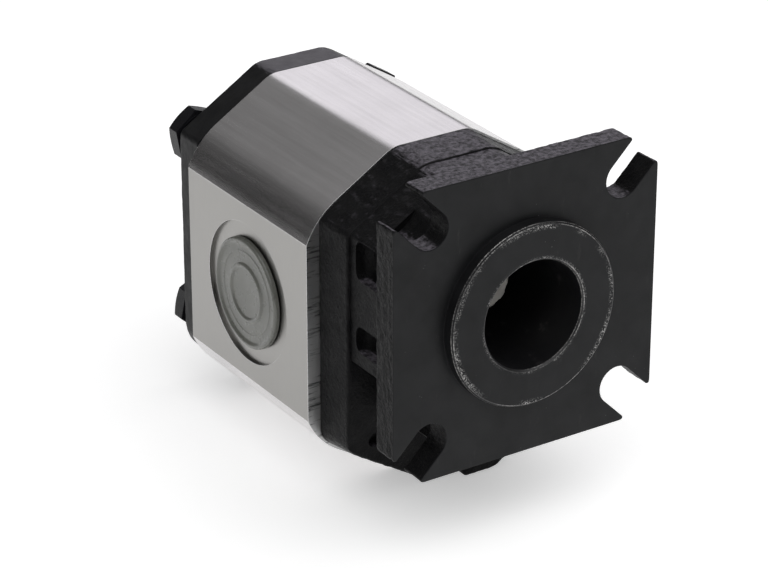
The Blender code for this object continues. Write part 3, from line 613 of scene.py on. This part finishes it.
def foot_outline():
    """The foot, whose lower right side follows the plate's chamfer."""
    rise = (FOOT_RIGHT - TOP_HALF) * math.tan(CHAMFER_ANGLE)
    return rounded([(FOOT_LEFT, FOOT_RISE, FOOT_ROUND), (FOOT_LEFT, FOOT_TOP, FOOT_ROUND),
                    (FOOT_RIGHT, FOOT_TOP, FOOT_ROUND), (FOOT_RIGHT, rise + FOOT_RISE, FOOT_ROUND),
                    (TOP_HALF, FOOT_RISE, FOOT_TOE_ROUND)], 5)


def cover_surface(middle, normal):
    """Machined on the mounting side and against the body, bored inside, cast everywhere else."""
    from_shaft = math.hypot(middle.x, middle.z - Z_SHAFT)
    if normal.y < -FACING and middle.y < Y_FLANGE + CLOSE:
        return MACHINED
    if normal.y > FACING and middle.y > Y_COVER_REAR - CLOSE:
        return MACHINED
    if middle.y < Y_FLANGE - NEAR and from_shaft > BORE_RADIUS + PILOT_RIM:
        return MACHINED
    in_bore = from_shaft < BORE_RADIUS + BORE_RIM
    if in_bore and (abs(normal.y) < SQUARE or middle.y > Y_FLANGE + BORE_MOUTH):
        return BORED
    return CAST


def rounded_casting(piece, width, keep_front=False):
    """Rounds a rough casting shape's edges, leaving alone those on a face that is machined later."""
    ends = [vertex.co.y for vertex in piece.data.vertices]
    front, back = min(ends), max(ends)

    def wanted(edge):
        reach = [vertex.co.y for vertex in edge.verts]
        if keep_front and max(reach) < front + NEAR:
            return False
        return min(reach) < back - NEAR or back < Y_COVER_REAR - NEAR

    return soften(piece, width, segments=3, wanted=wanted, clamp=False)


def rough_cover():
    """The casting before machining: flange, neck, front plate, foot, and their cored hollows."""
    outer = [FRONT_HALF_WIDTH, FRONT_UPPER_ROUND, FRONT_LOWER_ROUND]
    cover = prism("front_cover_cast", flange_outline(), Y_FLANGE, Y_FLANGE_BACK)
    rounded_casting(cover, FLANGE_EDGE, keep_front=True)
    plate = loft("plate", [(Y_PLATE, cover_outline(*outer, PLATE_LIFT_FRONT, PLATE_DRAFT)),
                           (Y_COVER_REAR, cover_outline(*outer, PLATE_LIFT_REAR))])
    rounded_casting(plate, CAST_EDGE)
    neck = prism("neck", neck_outline(), Y_FLANGE_BACK - OVERLAP, Y_PLATE + OVERLAP)
    foot = prism("foot", foot_outline(), Y_PLATE - FOOT_REACH, Y_PLATE + PLATE_DEPTH / 2)
    rounded_casting(foot, CAST_EDGE)
    combine(cover, [neck, plate, foot], "UNION")
    notches = [rod("notch", NOTCH_RADIUS, side * NOTCH_PLACE[0], NOTCH_PLACE[1], Y_PLATE - OVERLAP,
                   Y_PLATE + NOTCH_DEPTH, 24) for side in (-1, 1)]
    return combine(cover, relief_cutters() + pocket_cutters() + notches, "DIFFERENCE")


def pilot_spigot():
    return turned("pilot", [
        (0.0, Y_FLANGE + OVERLAP), (PILOT_RADIUS, Y_FLANGE + OVERLAP),
        (PILOT_RADIUS, Y_PILOT + BORE_CHAMFER), (PILOT_RADIUS - BORE_CHAMFER, Y_PILOT),
        (0.0, Y_PILOT)], (0.0, 0.0, Z_SHAFT), steps=128)


def pilot_rim(edge):
    """The edges of the pilot's front face."""
    return max(vertex.co.y for vertex in edge.verts) < Y_PILOT + BORE_CHAMFER + NEAR


def flange_rim(edge):
    """The outline of the flange's machined face."""
    return all(abs(vertex.co.y - Y_FLANGE) < NEAR for vertex in edge.verts)


def make_front_cover():
    cover = rough_cover()
    combine(cover, [pilot_spigot()], "UNION")
    groove = seal_groove(Y_COVER_REAR - BODY_SEAL_GROOVE, Y_COVER_REAR + OVERLAP)
    combine(cover, [shaft_bore_cutter(), groove]
            + bolt_holes(Y_BODY_FRONT - BOLT_THREAD - GAP, Y_BODY_FRONT + OVERLAP)
            + dowel_holes(Y_BODY_FRONT), "DIFFERENCE")
    paint_faces(cover, cover_surface)
    soften(cover, PILOT_EDGE, segments=2, angle=20, material_index=WORN, wanted=pilot_rim)
    soften(cover, MACHINED_EDGE, segments=2, material_index=MACHINED, wanted=flange_rim)
    roughen(cover, CAST, FRONT_MESH, CAST_DEPTH, FRONT_LOW, FRONT_HIGH)
    smooth(cover, 38)
    materials = [cast_paint(), machined_paint(), worn_paint(), bored_iron()]
    finish_piece(cover, "housing", "black_painted_iron", materials, "front_cover")


# ---------------------------------------------------------------- body
def port_cutters(side):
    """Spotface, thread and the passage to the gears."""
    face = BODY_HALF_WIDTH * side
    outside = face + side * OVERLAP
    floor = face - side * PORT_SPOTFACE_DEPTH
    deep = face - side * PORT_THREAD_DEPTH
    inner = side * PORT_PASSAGE / 2
    centre = (0.0, Y_PORT, Z_MIDDLE)
    thread = [(0.0, outside), (PORT_THREAD, outside), (PORT_THREAD, face)]
    for number in range(int(PORT_THREAD_DEPTH / PORT_PITCH) - 1):
        start = face - side * (PORT_SPOTFACE_DEPTH + PORT_PITCH * number)
        thread += [(PORT_THREAD, start), (PORT_THREAD + THREAD_RISE, start - side * PORT_PITCH / 2)]
    thread += [(PORT_THREAD, deep), (0.0, deep)]
    spotface = [(0.0, outside), (PORT_SPOTFACE, outside), (PORT_SPOTFACE, floor), (0.0, floor)]
    passage = [(0.0, outside), (PORT_PASSAGE, outside), (PORT_PASSAGE, inner), (0.0, inner)]
    return [turned("spotface", spotface, centre, "X", 128), turned("thread", thread, centre, "X"),
            turned("passage", passage, centre, "X", 48)]


def body_surface(middle, normal):
    """Sawn ends, milled port faces, turned ports darkened as painted shade on their walls and threads, and drawn
    skin everywhere else.
    """
    at_end = middle.y < Y_BODY_FRONT + CLOSE or middle.y > Y_BODY_BACK - CLOSE
    if abs(normal.y) > FACING and at_end:
        return SAWN
    if abs(normal.x) > STRAIGHT and abs(middle.x) > BODY_HALF_WIDTH - CLOSE:
        return MILLED
    from_port = math.hypot(middle.y - Y_PORT, middle.z - Z_MIDDLE)
    if from_port < PORT_SPOTFACE + SPOTFACE_MARGIN and abs(middle.x) > PORT_INNER_END:
        # the spotface floor stays milled; its wall and the thread take the darker turned metal, painted shade in
        # the recess
        return MILLED if abs(normal.x) > SQUARE and from_port > PORT_THREAD else SHADED_TURNED
    return DRAWN


def outer_edge(edge):
    """The body's outline at both ends, its port faces' edges and the spotfaces' rims."""
    ends = [vertex.co for vertex in edge.verts]
    at_end = all(point.y < Y_BODY_FRONT + NEAR for point in ends)
    at_end = at_end or all(point.y > Y_BODY_BACK - NEAR for point in ends)
    reach = [math.hypot(point.x, point.z - max(Z_DRIVEN, min(Z_SHAFT, point.z))) for point in ends]
    near_bore = all(distance < GEAR_BORE + GEAR_BORE_MARGIN for distance in reach)
    on_port_face = all(abs(point.x) > BODY_HALF_WIDTH - NEAR for point in ends)
    return (at_end and not near_bore) or on_port_face


def make_body():
    body = prism("pump_body_machined", body_outline(), Y_BODY_FRONT, Y_BODY_BACK)
    front, back = Y_BODY_FRONT - OVERLAP, Y_BODY_BACK + OVERLAP
    cutters = [prism("gear_bores", figure_eight(GEAR_BORE, 48), front, back)] + bolt_holes(front, back)
    cutters += dowel_holes(Y_BODY_FRONT) + dowel_holes(Y_BODY_BACK) + port_cutters(-1) + port_cutters(1)
    combine(body, cutters, "DIFFERENCE")
    paint_faces(body, body_surface)
    # the outer edges' bevels get the near-white edge colour, a painted highlight
    soften(body, BODY_EDGE, segments=2, material_index=EDGE_HIGHLIGHT, wanted=outer_edge, angle=12)
    smooth(body, 14)
    materials = [drawn_aluminium(), milled_aluminium(), sawn_aluminium(), edge_highlight_aluminium(),
                 turned_aluminium_with_painted_shade()]
    finish_piece(body, "housing", "milled_aluminium", materials, "pump_body")


# ---------------------------------------------------------------- rear cover
def rear_surface(middle, normal):
    return MACHINED if middle.y < Y_BODY_BACK + REAR_MARGIN and normal.y < -FACING else CAST


def rear_rim(edge):
    """The edges of the back face."""
    return min(vertex.co.y for vertex in edge.verts) > REAR_HIGH.y - NEAR


def make_rear_cover():
    outline = cover_outline(REAR_HALF_WIDTH, REAR_UPPER_ROUND, REAR_LOWER_ROUND)
    cover = prism("rear_cover_cast", outline, REAR_LOW.y, REAR_HIGH.y)
    soften(cover, REAR_EDGE, segments=4, wanted=rear_rim)
    front = REAR_LOW.y - OVERLAP
    combine(cover, bolt_holes(front, REAR_HIGH.y + OVERLAP) + dowel_holes(Y_BODY_BACK)
            + [seal_groove(front, REAR_LOW.y + BODY_SEAL_GROOVE)], "DIFFERENCE")
    paint_faces(cover, rear_surface)
    soften(cover, MACHINED_EDGE, segments=2, wanted=rear_rim)
    roughen(cover, CAST, REAR_MESH, CAST_DEPTH * 0.5, REAR_LOW, REAR_HIGH)
    smooth(cover, 38)
    finish_piece(cover, "housing", "black_painted_iron", [rear_paint(), machined_paint()], "rear_cover")


# ---------------------------------------------------------------- fasteners, caps and the shaft
def head_envelope(seat, back):
    """What turning leaves of a hexagon: chamfered corners and a dished end."""
    flat = BOLT_ACROSS_FLATS / 2
    corner = BOLT_ACROSS_FLATS / math.sqrt(3)
    drop = (corner - flat * CHAMFER_SHARE) * HEAD_SLOPE
    return [(0.0, back - HEAD_DISH), (flat * DISH_SHARE, back - HEAD_DISH), (flat * DISH_RIM_SHARE, back),
            (flat * CHAMFER_SHARE, back), (corner + OVERLAP, back - drop - OVERLAP * HEAD_SLOPE),
            (corner + OVERLAP, seat - OVERLAP), (0.0, seat - OVERLAP)]


def shank_profile(tip, seat):
    """Thread rings from the tip, the plain shank, and the washer face under the head."""
    profile = [(0.0, tip)]
    for number in range(int(BOLT_THREAD / BOLT_PITCH)):
        start = tip + BOLT_TIP + BOLT_PITCH * number
        profile += [(BOLT_RADIUS - THREAD_RISE, start), (BOLT_RADIUS, start + BOLT_PITCH / 2)]
    washer = BOLT_ACROSS_FLATS / 2 * WASHER_SHARE
    return profile + [(BOLT_RADIUS, seat), (washer, seat), (washer, seat + WASHER_FACE + OVERLAP),
                      (0.0, seat + WASHER_FACE + OVERLAP)]


def make_bolt(name, centre, turn):
    """A hexagon bolt; turn is how far its head is turned, in degrees."""
    seat = REAR_HIGH.y + GAP
    low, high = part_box("tie_bolt_" + name)
    corner = BOLT_ACROSS_FLATS / math.sqrt(3)
    hexagon = [(centre[0] + corner * math.cos(math.radians(turn + 60 * k)),
                centre[1] + corner * math.sin(math.radians(turn + 60 * k))) for k in range(6)]
    middle = (centre[0], 0.0, centre[1])
    bolt = prism(f"bolt_{name}", hexagon, seat + WASHER_FACE, high.y)
    combine(bolt, [turned("turning", head_envelope(seat, high.y), middle, steps=72)], "INTERSECT")
    soften(bolt, BOLT_EDGE, segments=2, angle=25)
    combine(bolt, [turned("shank", shank_profile(low.y, seat), middle, steps=48)], "UNION")
    smooth(bolt, 24)
    finish_piece(bolt, "housing", "blackened_steel", [blackened_steel()], "tie_bolt_" + name)


def make_cap(name, side):
    """A moulded plug: brimmed disc with raised rings, and a ribbed skirt down the thread."""
    low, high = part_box("port_cap_" + name)
    top, end = (high.x, low.x) if side > 0 else (low.x, high.x)
    seat = top - side * CAP_THICKNESS
    profile = [(radius, top - side * (CAP_THICKNESS - height)) for radius, height in CAP_FACE]
    profile += [(CAP_RADIUS - CAP_BRIM_EDGE, seat), (CAP_SKIRT - SKIRT_SINK, seat)]
    for number in range(3):
        start = seat - side * (RIB_START + RIB_PITCH * number)
        profile += [(CAP_SKIRT - SKIRT_SINK, start), (CAP_SKIRT, start - side * RIB_RISE),
                    (CAP_SKIRT - SKIRT_SINK, start - side * RIB_LENGTH)]
    wall = CAP_SKIRT - SKIRT_WALL
    profile += [(CAP_SKIRT - SKIRT_CHAMFER, end), (wall + WALL_FLARE, end),
                (wall, end + side * WALL_LEAD), (wall, seat - side * CAP_FLOOR),
                (0.0, seat - side * CAP_FLOOR)]
    cap = turned("cap_" + name, profile, (0.0, Y_PORT, Z_MIDDLE), axis="X", steps=128)
    smooth(cap, 50)
    finish_piece(cap, name + "_cap", "cap_plastic", [cap_plastic()], "port_cap_" + name)


# ---------------------------------------------------------------- material helpers
def new_material(name):
    """Returns a new material, its node tree and its shader."""
    made = bpy.data.materials.new(name)
    made.use_nodes = True
    return made, made.node_tree, made.node_tree.nodes["Principled BSDF"]


def node(tree, kind, inputs=None, **settings):
    """Adds a node; inputs are numbers, colours or sockets to link."""
    made = tree.nodes.new(kind)
    for key, value in settings.items():
        setattr(made, key, value)
    for key, value in (inputs or {}).items():
        if isinstance(value, bpy.types.NodeSocket):
            tree.links.new(value, made.inputs[key])
        else:
            made.inputs[key].default_value = value
    return made


def place_on(tree, stretch=(1.0, 1.0, 1.0), turn=(0.0, 0.0, 0.0)):
    """The object's own coordinates in metres, stretched and turned."""
    coordinates = node(tree, "ShaderNodeTexCoord")
    mapped = node(tree, "ShaderNodeMapping", {"Vector": coordinates.outputs["Object"],
                                              "Scale": stretch, "Rotation": turn})
    return mapped.outputs["Vector"]


def cloud(tree, where, scale, detail=4.0, roughness=0.55, distortion=0.0):
    """Soft noise between 0 and 1; scale is in waves per metre."""
    made = node(tree, "ShaderNodeTexNoise", {"Vector": where, "Scale": scale, "Detail": detail,
                                             "Roughness": roughness, "Distortion": distortion})
    return made.outputs["Fac"]


def spots(tree, where, scale, size):
    """1 inside small scattered dots, 0 elsewhere."""
    cells = node(tree, "ShaderNodeTexVoronoi", {"Vector": where, "Scale": scale, "Randomness": 1.0})
    return ramp(tree, cells.outputs["Distance"], [(size * 0.6, 1.0), (size, 0.0)])


def ramp(tree, source, stops):
    """A grey or coloured ramp; stops are (position, value or colour)."""
    made = node(tree, "ShaderNodeValToRGB", {"Fac": source})
    while len(made.color_ramp.elements) < len(stops):
        made.color_ramp.elements.new(0.5)
    for element, (position, value) in zip(made.color_ramp.elements, stops):
        element.position = position
        colour = (value, value, value) if isinstance(value, float) else value
        element.color = (*colour, 1.0)
    return made.outputs["Color"]


def blend(tree, factor, first, second):
    """Colour mix of two colours or sockets."""
    made = node(tree, "ShaderNodeMix", data_type="RGBA")
    sockets = (made.inputs[0], made.inputs[6], made.inputs[7])
    for socket, value in zip(sockets, (factor, first, second)):
        if isinstance(value, bpy.types.NodeSocket):
            tree.links.new(value, socket)
        else:
            socket.default_value = value
    return made.outputs[2]


def times(tree, first, second):
    """The product of two numbers or sockets."""
    return node(tree, "ShaderNodeMath", {0: first, 1: second}, operation="MULTIPLY").outputs[0]


def relief(tree, shader, height, strength, distance, before=None):
    """Adds a bump to the shader, on top of the one before it."""
    inputs = {"Height": height, "Strength": strength, "Distance": distance}
    if before is not None:
        inputs["Normal"] = before
    made = node(tree, "ShaderNodeBump", inputs)
    tree.links.new(made.outputs["Normal"], shader.inputs["Normal"])
    return made.outputs["Normal"]


def set_inputs(tree, shader, **values):
    """Sets shader inputs by name, with underscores for spaces."""
    for key, value in values.items():
        socket = shader.inputs[key.replace("_", " ")]
        if isinstance(value, bpy.types.NodeSocket):
            tree.links.new(value, socket)
        else:
            socket.default_value = value


# ---------------------------------------------------------------- paints
def facing_up(tree, low, high):
    """0 on walls, rising to 1 on faces that look up, where dust settles and where painted top light is laid on."""
    coordinates = node(tree, "ShaderNodeTexCoord")
    parts = node(tree, "ShaderNodeSeparateXYZ", {"Vector": coordinates.outputs["Normal"]})
    return ramp(tree, parts.outputs["Z"], [(low, 0.0), (high, 1.0)])


def cast_paint():
    """Thin glossy black over rough cast iron, lighter and purple-grey on top from dust and a painted top light,
    with a few chips.
    """
    made, tree, shader = new_material("black_paint_on_casting")
    where = place_on(tree)
    tone = ramp(tree, cloud(tree, where, 160.0, 5.0), [(0.30, (0.0050, 0.0050, 0.0055)),
                                                      (0.72, (0.0110, 0.0108, 0.0112))])
    # upward faces go purple-grey: dust together with a painted top light
    dust = times(tree, facing_up(tree, 0.86, 0.97),
                 ramp(tree, cloud(tree, where, 650.0, 5.0, 0.65), [(0.38, 0.12), (0.64, 1.0)]))
    tone = blend(tree, dust, tone, CASTING_DUST_AND_TOP_LIGHT)
    chips = ramp(tree, cloud(tree, where, 700.0, 6.0, 0.75), [(0.715, 0.0), (0.735, 1.0)])
    tone = blend(tree, times(tree, chips, CHIP_SHARE), tone, CASTING_CHIP)
    gloss = ramp(tree, cloud(tree, where, 380.0, 4.0), [(0.30, 0.26), (0.75, 0.42)])
    set_inputs(tree, shader, Base_Color=tone, Roughness=gloss, Specular_IOR_Level=0.06)
    fine = relief(tree, shader, cloud(tree, where, 2100.0, 5.0, 0.62), 0.50, 0.00025)
    relief(tree, shader, cloud(tree, where, 900.0, 4.0, 0.6, 0.4), 0.60, 0.0006, fine)
    return made


def rim_specks(tree, where):
    """Small bright chips that gather along the pilot's edge and the bore's edge."""
    centred = node(tree, "ShaderNodeVectorMath", {0: where, 1: (0.0, 0.0, -Z_SHAFT)}, operation="ADD")
    flat = node(tree, "ShaderNodeVectorMath", {0: centred.outputs[0], 1: (1.0, 0.0, 1.0)},
                operation="MULTIPLY")
    reach = node(tree, "ShaderNodeVectorMath", {0: flat.outputs[0]}, operation="LENGTH")
    span = 1 / RIM_SPAN
    start, peak, stop = [(PILOT_RADIUS - distance) * span for distance in PILOT_BAND]
    bands = ramp(tree, times(tree, reach.outputs["Value"], span), [
        (BORE_RADIUS * span, 1.0), ((BORE_RADIUS + BORE_BAND) * span, 0.0),
        (start, 0.0), (peak, 1.0), (stop, 0.0)])
    gathered = ramp(tree, cloud(tree, where, 55.0, 3.0), [(0.44, 0.0), (0.56, 1.0)])
    chips = ramp(tree, cloud(tree, where, 2600.0, 3.0, 0.7), [(0.53, 0.0), (0.60, 1.0)])
    return times(tree, times(tree, bands, gathered), chips)


def machined_paint():
    """The same black on smooth machined faces, with settled dust."""
    made, tree, shader = new_material("black_paint_on_machined_face")
    where = place_on(tree)
    tone = ramp(tree, cloud(tree, where, 70.0, 6.0, 0.6), [(0.32, (0.0058, 0.0060, 0.0066)),
                                                          (0.70, (0.0105, 0.0108, 0.0118))])
    dust = times(tree, spots(tree, where, 620.0, 0.075),
                 ramp(tree, cloud(tree, where, 110.0, 5.0, 0.7), [(0.56, 0.0), (0.70, 0.6)]))
    tone = blend(tree, dust, tone, FACE_DUST)
    tone = blend(tree, rim_specks(tree, where), tone, FACE_CHIP)
    wiped = place_on(tree, (1.0, 1.0, 0.25), (0.0, 0.6, 0.0))
    haze = ramp(tree, cloud(tree, wiped, 260.0, 5.0, 0.7), [(0.62, 0.0), (0.82, 0.10)])
    tone = blend(tree, haze, tone, FACE_HAZE)
    gloss = ramp(tree, cloud(tree, where, 210.0, 4.0), [(0.30, 0.40), (0.75, 0.55)])
    set_inputs(tree, shader, Base_Color=tone, Roughness=gloss, Specular_IOR_Level=0.19)
    relief(tree, shader, cloud(tree, where, 900.0, 4.0), 0.12, 0.0002)
    return made


def rear_paint():
    """Smoother black on the rear cover."""
    made, tree, shader = new_material("black_paint_on_rear_cover")
    where = place_on(tree)
    tone = ramp(tree, cloud(tree, where, 110.0, 5.0), [(0.30, (0.0065, 0.0065, 0.007)),
                                                      (0.72, (0.015, 0.015, 0.0155))])
    # upward faces lighter and purple-grey: dust together with a painted top light
    tone = blend(tree, facing_up(tree, 0.90, 0.98), tone, REAR_DUST_AND_TOP_LIGHT)
    gloss = ramp(tree, cloud(tree, where, 300.0, 4.0), [(0.30, 0.34), (0.75, 0.50)])
    set_inputs(tree, shader, Base_Color=tone, Roughness=gloss, Specular_IOR_Level=0.14)
    relief(tree, shader, cloud(tree, where, 1100.0, 4.0), 0.28, 0.0002)
    return made


def worn_paint():
    """Machined rims where the paint is rubbed down to bright iron in places."""
    made, tree, shader = new_material("worn_black_rim")
    where = place_on(tree)
    patches = ramp(tree, cloud(tree, where, 40.0, 3.0), [(0.44, 0.08), (0.60, 0.9)])
    worn = times(tree, patches,
                 ramp(tree, cloud(tree, where, 1700.0, 4.0, 0.7), [(0.44, 0.0), (0.56, 1.0)]))
    tone = blend(tree, worn, RIM_PAINT, RIM_IRON)
    set_inputs(tree, shader, Base_Color=tone, Metallic=times(tree, worn, 0.2),
               Roughness=ramp(tree, cloud(tree, where, 600.0), [(0.30, 0.30), (0.75, 0.48)]))
    return made


def bored_iron():
    """The bore's turned wall under thin black, with fine turning rings and a few rubs."""
    made, tree, shader = new_material("black_bore")
    where = place_on(tree)
    rub = ramp(tree, cloud(tree, where, 120.0, 6.0, 0.7), [(0.60, 0.0), (0.68, 0.7)])
    tone = blend(tree, rub, BORE_PAINT, BORE_RUB)
    set_inputs(tree, shader, Base_Color=tone, Metallic=times(tree, rub, 0.7),
               Roughness=ramp(tree, cloud(tree, where, 300.0), [(0.30, 0.36), (0.75, 0.5)]))
    rings = cloud(tree, place_on(tree, (0.02, 1.0, 0.02)), 2600.0, 2.0)
    relief(tree, shader, rings, 0.10, 0.0001)
    return made


# ---------------------------------------------------------------- aluminium
def aluminium(name, tones, gloss, stretch, scale, marks, turn=(0.0, 0.0, 0.0)):
    """Bare aluminium with marks along one direction; returns material, tree, shader and normal."""
    made, tree, shader = new_material(name)
    along = place_on(tree, stretch, turn)
    streaks = cloud(tree, along, scale, 6.0, 0.62)
    patches = cloud(tree, place_on(tree), 38.0, 3.0)
    shades = [(0.25, tones[0]), (0.78, tones[1])]
    tone = blend(tree, 0.35, ramp(tree, streaks, shades), ramp(tree, patches, shades))
    shine = ramp(tree, streaks, [(0.25, gloss[0]), (0.78, gloss[1])])
    set_inputs(tree, shader, Base_Color=tone, Metallic=1.0, Roughness=shine)
    fine = relief(tree, shader, cloud(tree, along, scale * 3.1, 4.0, 0.6), marks, 0.0001)
    return made, tree, shader, fine


def drawn_aluminium():
    """Extruded skin: long soft streaks and scratches along the body."""
    made, tree, shader, fine = aluminium(
        "drawn_aluminium", ((0.54, 0.525, 0.525), (0.76, 0.74, 0.745)), (0.19, 0.29),
        (1.0, 0.03, 1.0), 520.0, 0.05)
    scratches = cloud(tree, place_on(tree, (1.0, 0.015, 1.0)), 2600.0, 3.0, 0.7)
    relief(tree, shader, ramp(tree, scratches, [(0.64, 1.0), (0.68, 0.0)]), 0.05, 0.00006, fine)
    return made


def milled_aluminium():
    """Cleanly milled port face."""
    made, tree, shader, fine = aluminium(
        "milled_aluminium", ((0.305, 0.299, 0.288), (0.355, 0.348, 0.336)), (0.28, 0.40),
        (1.0, 1.0, 0.12), 900.0, 0.06)
    relief(tree, shader, cloud(tree, place_on(tree), 1400.0, 4.0), 0.05, 0.0001, fine)
    return made


def turned_aluminium_with_painted_shade():
    """Spotface and thread, cut round the port's axis, darker than the milled face as painted shade in the recess.
    """
    return aluminium("turned_aluminium_with_painted_shade", ((0.20, 0.197, 0.188), (0.30, 0.296, 0.285)), (0.26, 0.42),
                     (1.0, 1.0, 1.0), 700.0, 0.08)[0]


def sawn_aluminium():
    """Sawn ends: slanting dark saw marks with torn grain between them."""
    made, tree, shader, fine = aluminium(
        "sawn_aluminium", ((0.20, 0.20, 0.20), (0.36, 0.36, 0.365)), (0.30, 0.46),
        (1.0, 1.0, 0.10), 1100.0, 0.30, (0.0, math.radians(38), 0.0))
    across = place_on(tree, (0.10, 1.0, 1.0), (0.0, math.radians(-52), 0.0))
    slashes = ramp(tree, cloud(tree, across, 900.0, 4.0, 0.7), [(0.36, 0.14), (0.47, 0.56)])
    set_inputs(tree, shader, Base_Color=slashes)
    relief(tree, shader, slashes, 0.20, 0.00015, fine)
    return made


def edge_highlight_aluminium():
    """Broken edges, coloured near-white and partly diffuse as a painted highlight."""
    made, tree, shader, _ = aluminium(
        "painted_highlight_aluminium_edge", ((0.66, 0.66, 0.67), (0.95, 0.95, 0.95)), (0.20, 0.36),
        (1.0, 1.0, 1.0), 1500.0, 0.10)
    set_inputs(tree, shader, Metallic=0.35)
    return made


# ---------------------------------------------------------------- other materials
def simple(name, dark, light, gloss, metallic, scale, marks, **more):
    """A material whose colour and gloss vary gently over the piece, and whose skin is grainy."""
    made, tree, shader = new_material(name)
    where = place_on(tree)
    patches = cloud(tree, where, scale, 5.0)
    set_inputs(tree, shader, Base_Color=ramp(tree, patches, [(0.28, dark), (0.74, light)]),
               Roughness=ramp(tree, cloud(tree, where, scale * 3.7), [(0.3, gloss[0]), (0.75, gloss[1])]),
               Metallic=metallic, **more)
    relief(tree, shader, cloud(tree, where, scale * 8.0, 4.0), marks, 0.0001)
    return made


def blackened_steel():
    return simple("blackened_steel", (0.005, 0.005, 0.006), (0.012, 0.012, 0.014), (0.24, 0.38),
                  0.0, 150.0, 0.12, Specular_IOR_Level=0.16)


def cap_plastic():
    return simple("grey_moulded_plastic", (0.110, 0.112, 0.100), (0.150, 0.152, 0.136), (0.24, 0.36),
                  0.0, 90.0, 0.05, Subsurface_Weight=0.25,
                  Subsurface_Radius=(0.002, 0.002, 0.0016), Coat_Weight=0.15)


def ground_steel():
    return simple("ground_steel", (0.50, 0.48, 0.44), (0.66, 0.64, 0.60), (0.34, 0.46), 0.35, 260.0, 0.10)


def bearing_alloy():
    return simple("bearing_alloy", (0.52, 0.52, 0.50), (0.66, 0.66, 0.64), (0.36, 0.50), 1.0, 120.0, 0.10)


def sintered_bronze():
    return simple("sintered_bronze", (0.40, 0.24, 0.11), (0.56, 0.36, 0.19), (0.38, 0.52),
                  1.0, 700.0, 0.20)


def nitrile_rubber():
    return simple("nitrile_rubber", (0.012, 0.012, 0.012), (0.026, 0.026, 0.026), (0.52, 0.68),
                  0.0, 300.0, 0.15)


def backup_nylon():
    return simple("backup_nylon", (0.66, 0.64, 0.56), (0.76, 0.74, 0.66), (0.42, 0.55), 0.0, 200.0, 0.08)


def spring_steel():
    return simple("spring_steel", (0.07, 0.07, 0.08), (0.14, 0.14, 0.15), (0.28, 0.40), 1.0, 240.0, 0.10)


KEPT_NODES = (
    (ground_steel, ("drive_gear", "driven_gear", "front_dowel_1", "front_dowel_2", "rear_dowel_1",
                    "rear_dowel_2")),
    (bearing_alloy, ("bearing_block_front", "bearing_block_rear")),
    (sintered_bronze, ("liner_front_drive", "liner_front_driven", "liner_rear_drive",
                       "liner_rear_driven")),
    (nitrile_rubber, ("balance_seal_front", "balance_seal_rear", "body_seal_front",
                      "body_seal_rear", "shaft_seal")),
    (backup_nylon, ("backup_ring_front", "backup_ring_rear")),
    (spring_steel, ("seal_spring", "seal_circlip")),
)


def dress_kept_nodes():
    """Gives every piece that stays as it is in the frame its own material."""
    for make, names in KEPT_NODES:
        finish = make()
        for name in names:
            mesh = frame["nodes"][name].data
            mesh.materials.clear()
            mesh.materials.append(finish)


# ---------------------------------------------------------------- studio
def make_floor():
    shell = bmesh.new()
    corners = [shell.verts.new((x * FLOOR_HALF, y * FLOOR_HALF, 0.0)) for x, y in
               ((-1, -1), (1, -1), (1, 1), (-1, 1))]
    shell.faces.new(corners)
    floor = from_bmesh("studio_floor", shell)
    made, tree, shader = new_material("pale_floor")
    tone = ramp(tree, cloud(tree, place_on(tree), 4.0, 2.0), [(0.3, 0.90), (0.7, 0.92)])
    set_inputs(tree, shader, Base_Color=tone, Roughness=0.85, Specular_IOR_Level=0.1,
               Emission_Color=(1.0, 1.0, 1.0, 1.0), Emission_Strength=FLOOR_GLOW)
    floor.data.materials.append(made)


def softbox(name, direction, distance, size, power, tint):
    """An area light that looks at the pump from the given direction."""
    lamp = bpy.data.lights.new(name, "AREA")
    lamp.shape = "RECTANGLE"
    lamp.size, lamp.size_y = size
    lamp.energy = power
    lamp.color = tint
    made = bpy.data.objects.new(name, lamp)
    bpy.context.scene.collection.objects.link(made)
    heading = Vector(direction).normalized()
    made.location = AIM + heading * distance
    made.rotation_euler = heading.to_track_quat("Z", "Y").to_euler()


def make_world():
    """A grey sky that darkens towards the horizon."""
    world = bpy.data.worlds.new("studio")
    bpy.context.scene.world = world
    world.use_nodes = True
    backdrop = world.node_tree.nodes["Background"]
    coordinates = node(world.node_tree, "ShaderNodeTexCoord")
    parts = node(world.node_tree, "ShaderNodeSeparateXYZ",
                 {"Vector": coordinates.outputs["Generated"]})
    sky = ramp(world.node_tree, parts.outputs["Z"], SKY)
    world.node_tree.links.new(sky, backdrop.inputs["Color"])


def make_camera():
    """The photograph's view, aimed from the middle of the flange's face."""
    azimuth = math.radians(CAMERA_AZIMUTH)
    elevation = math.radians(CAMERA_ELEVATION)
    back = Vector((math.sin(azimuth) * math.cos(elevation), -math.cos(azimuth) * math.cos(elevation),
                   math.sin(elevation)))
    right = (-back).cross(Vector((0.0, 0.0, 1.0))).normalized()
    up = right.cross(-back)
    lens = bpy.data.cameras.new("photo_camera")
    lens.lens = CAMERA_LENS
    lens.sensor_width = CAMERA_SENSOR
    lens.clip_start = CAMERA_CLIP
    made = bpy.data.objects.new("photo_camera", lens)
    bpy.context.scene.collection.objects.link(made)
    position = Vector((0.0, Y_FLANGE, Z_SHAFT)) + back * CAMERA_BACK + right * CAMERA_RIGHT
    position += up * CAMERA_UP
    turned_to = Matrix((right, up, back)).transposed().to_4x4()
    made.matrix_world = Matrix.Translation(position) @ turned_to
    bpy.context.scene.camera = made


def build_studio():
    make_floor()
    make_world()
    for light in LIGHTS:
        softbox(*light)
    make_camera()
    bpy.context.scene.view_settings.view_transform = "Standard"


make_front_cover()
make_body()
make_rear_cover()
for bolt_name, bolt_centre in bolt_places().items():
    make_bolt(bolt_name, bolt_centre, HEAD_TURNS[bolt_name])
make_cap("left", -1)
make_cap("right", 1)
dress_kept_nodes()
build_studio()
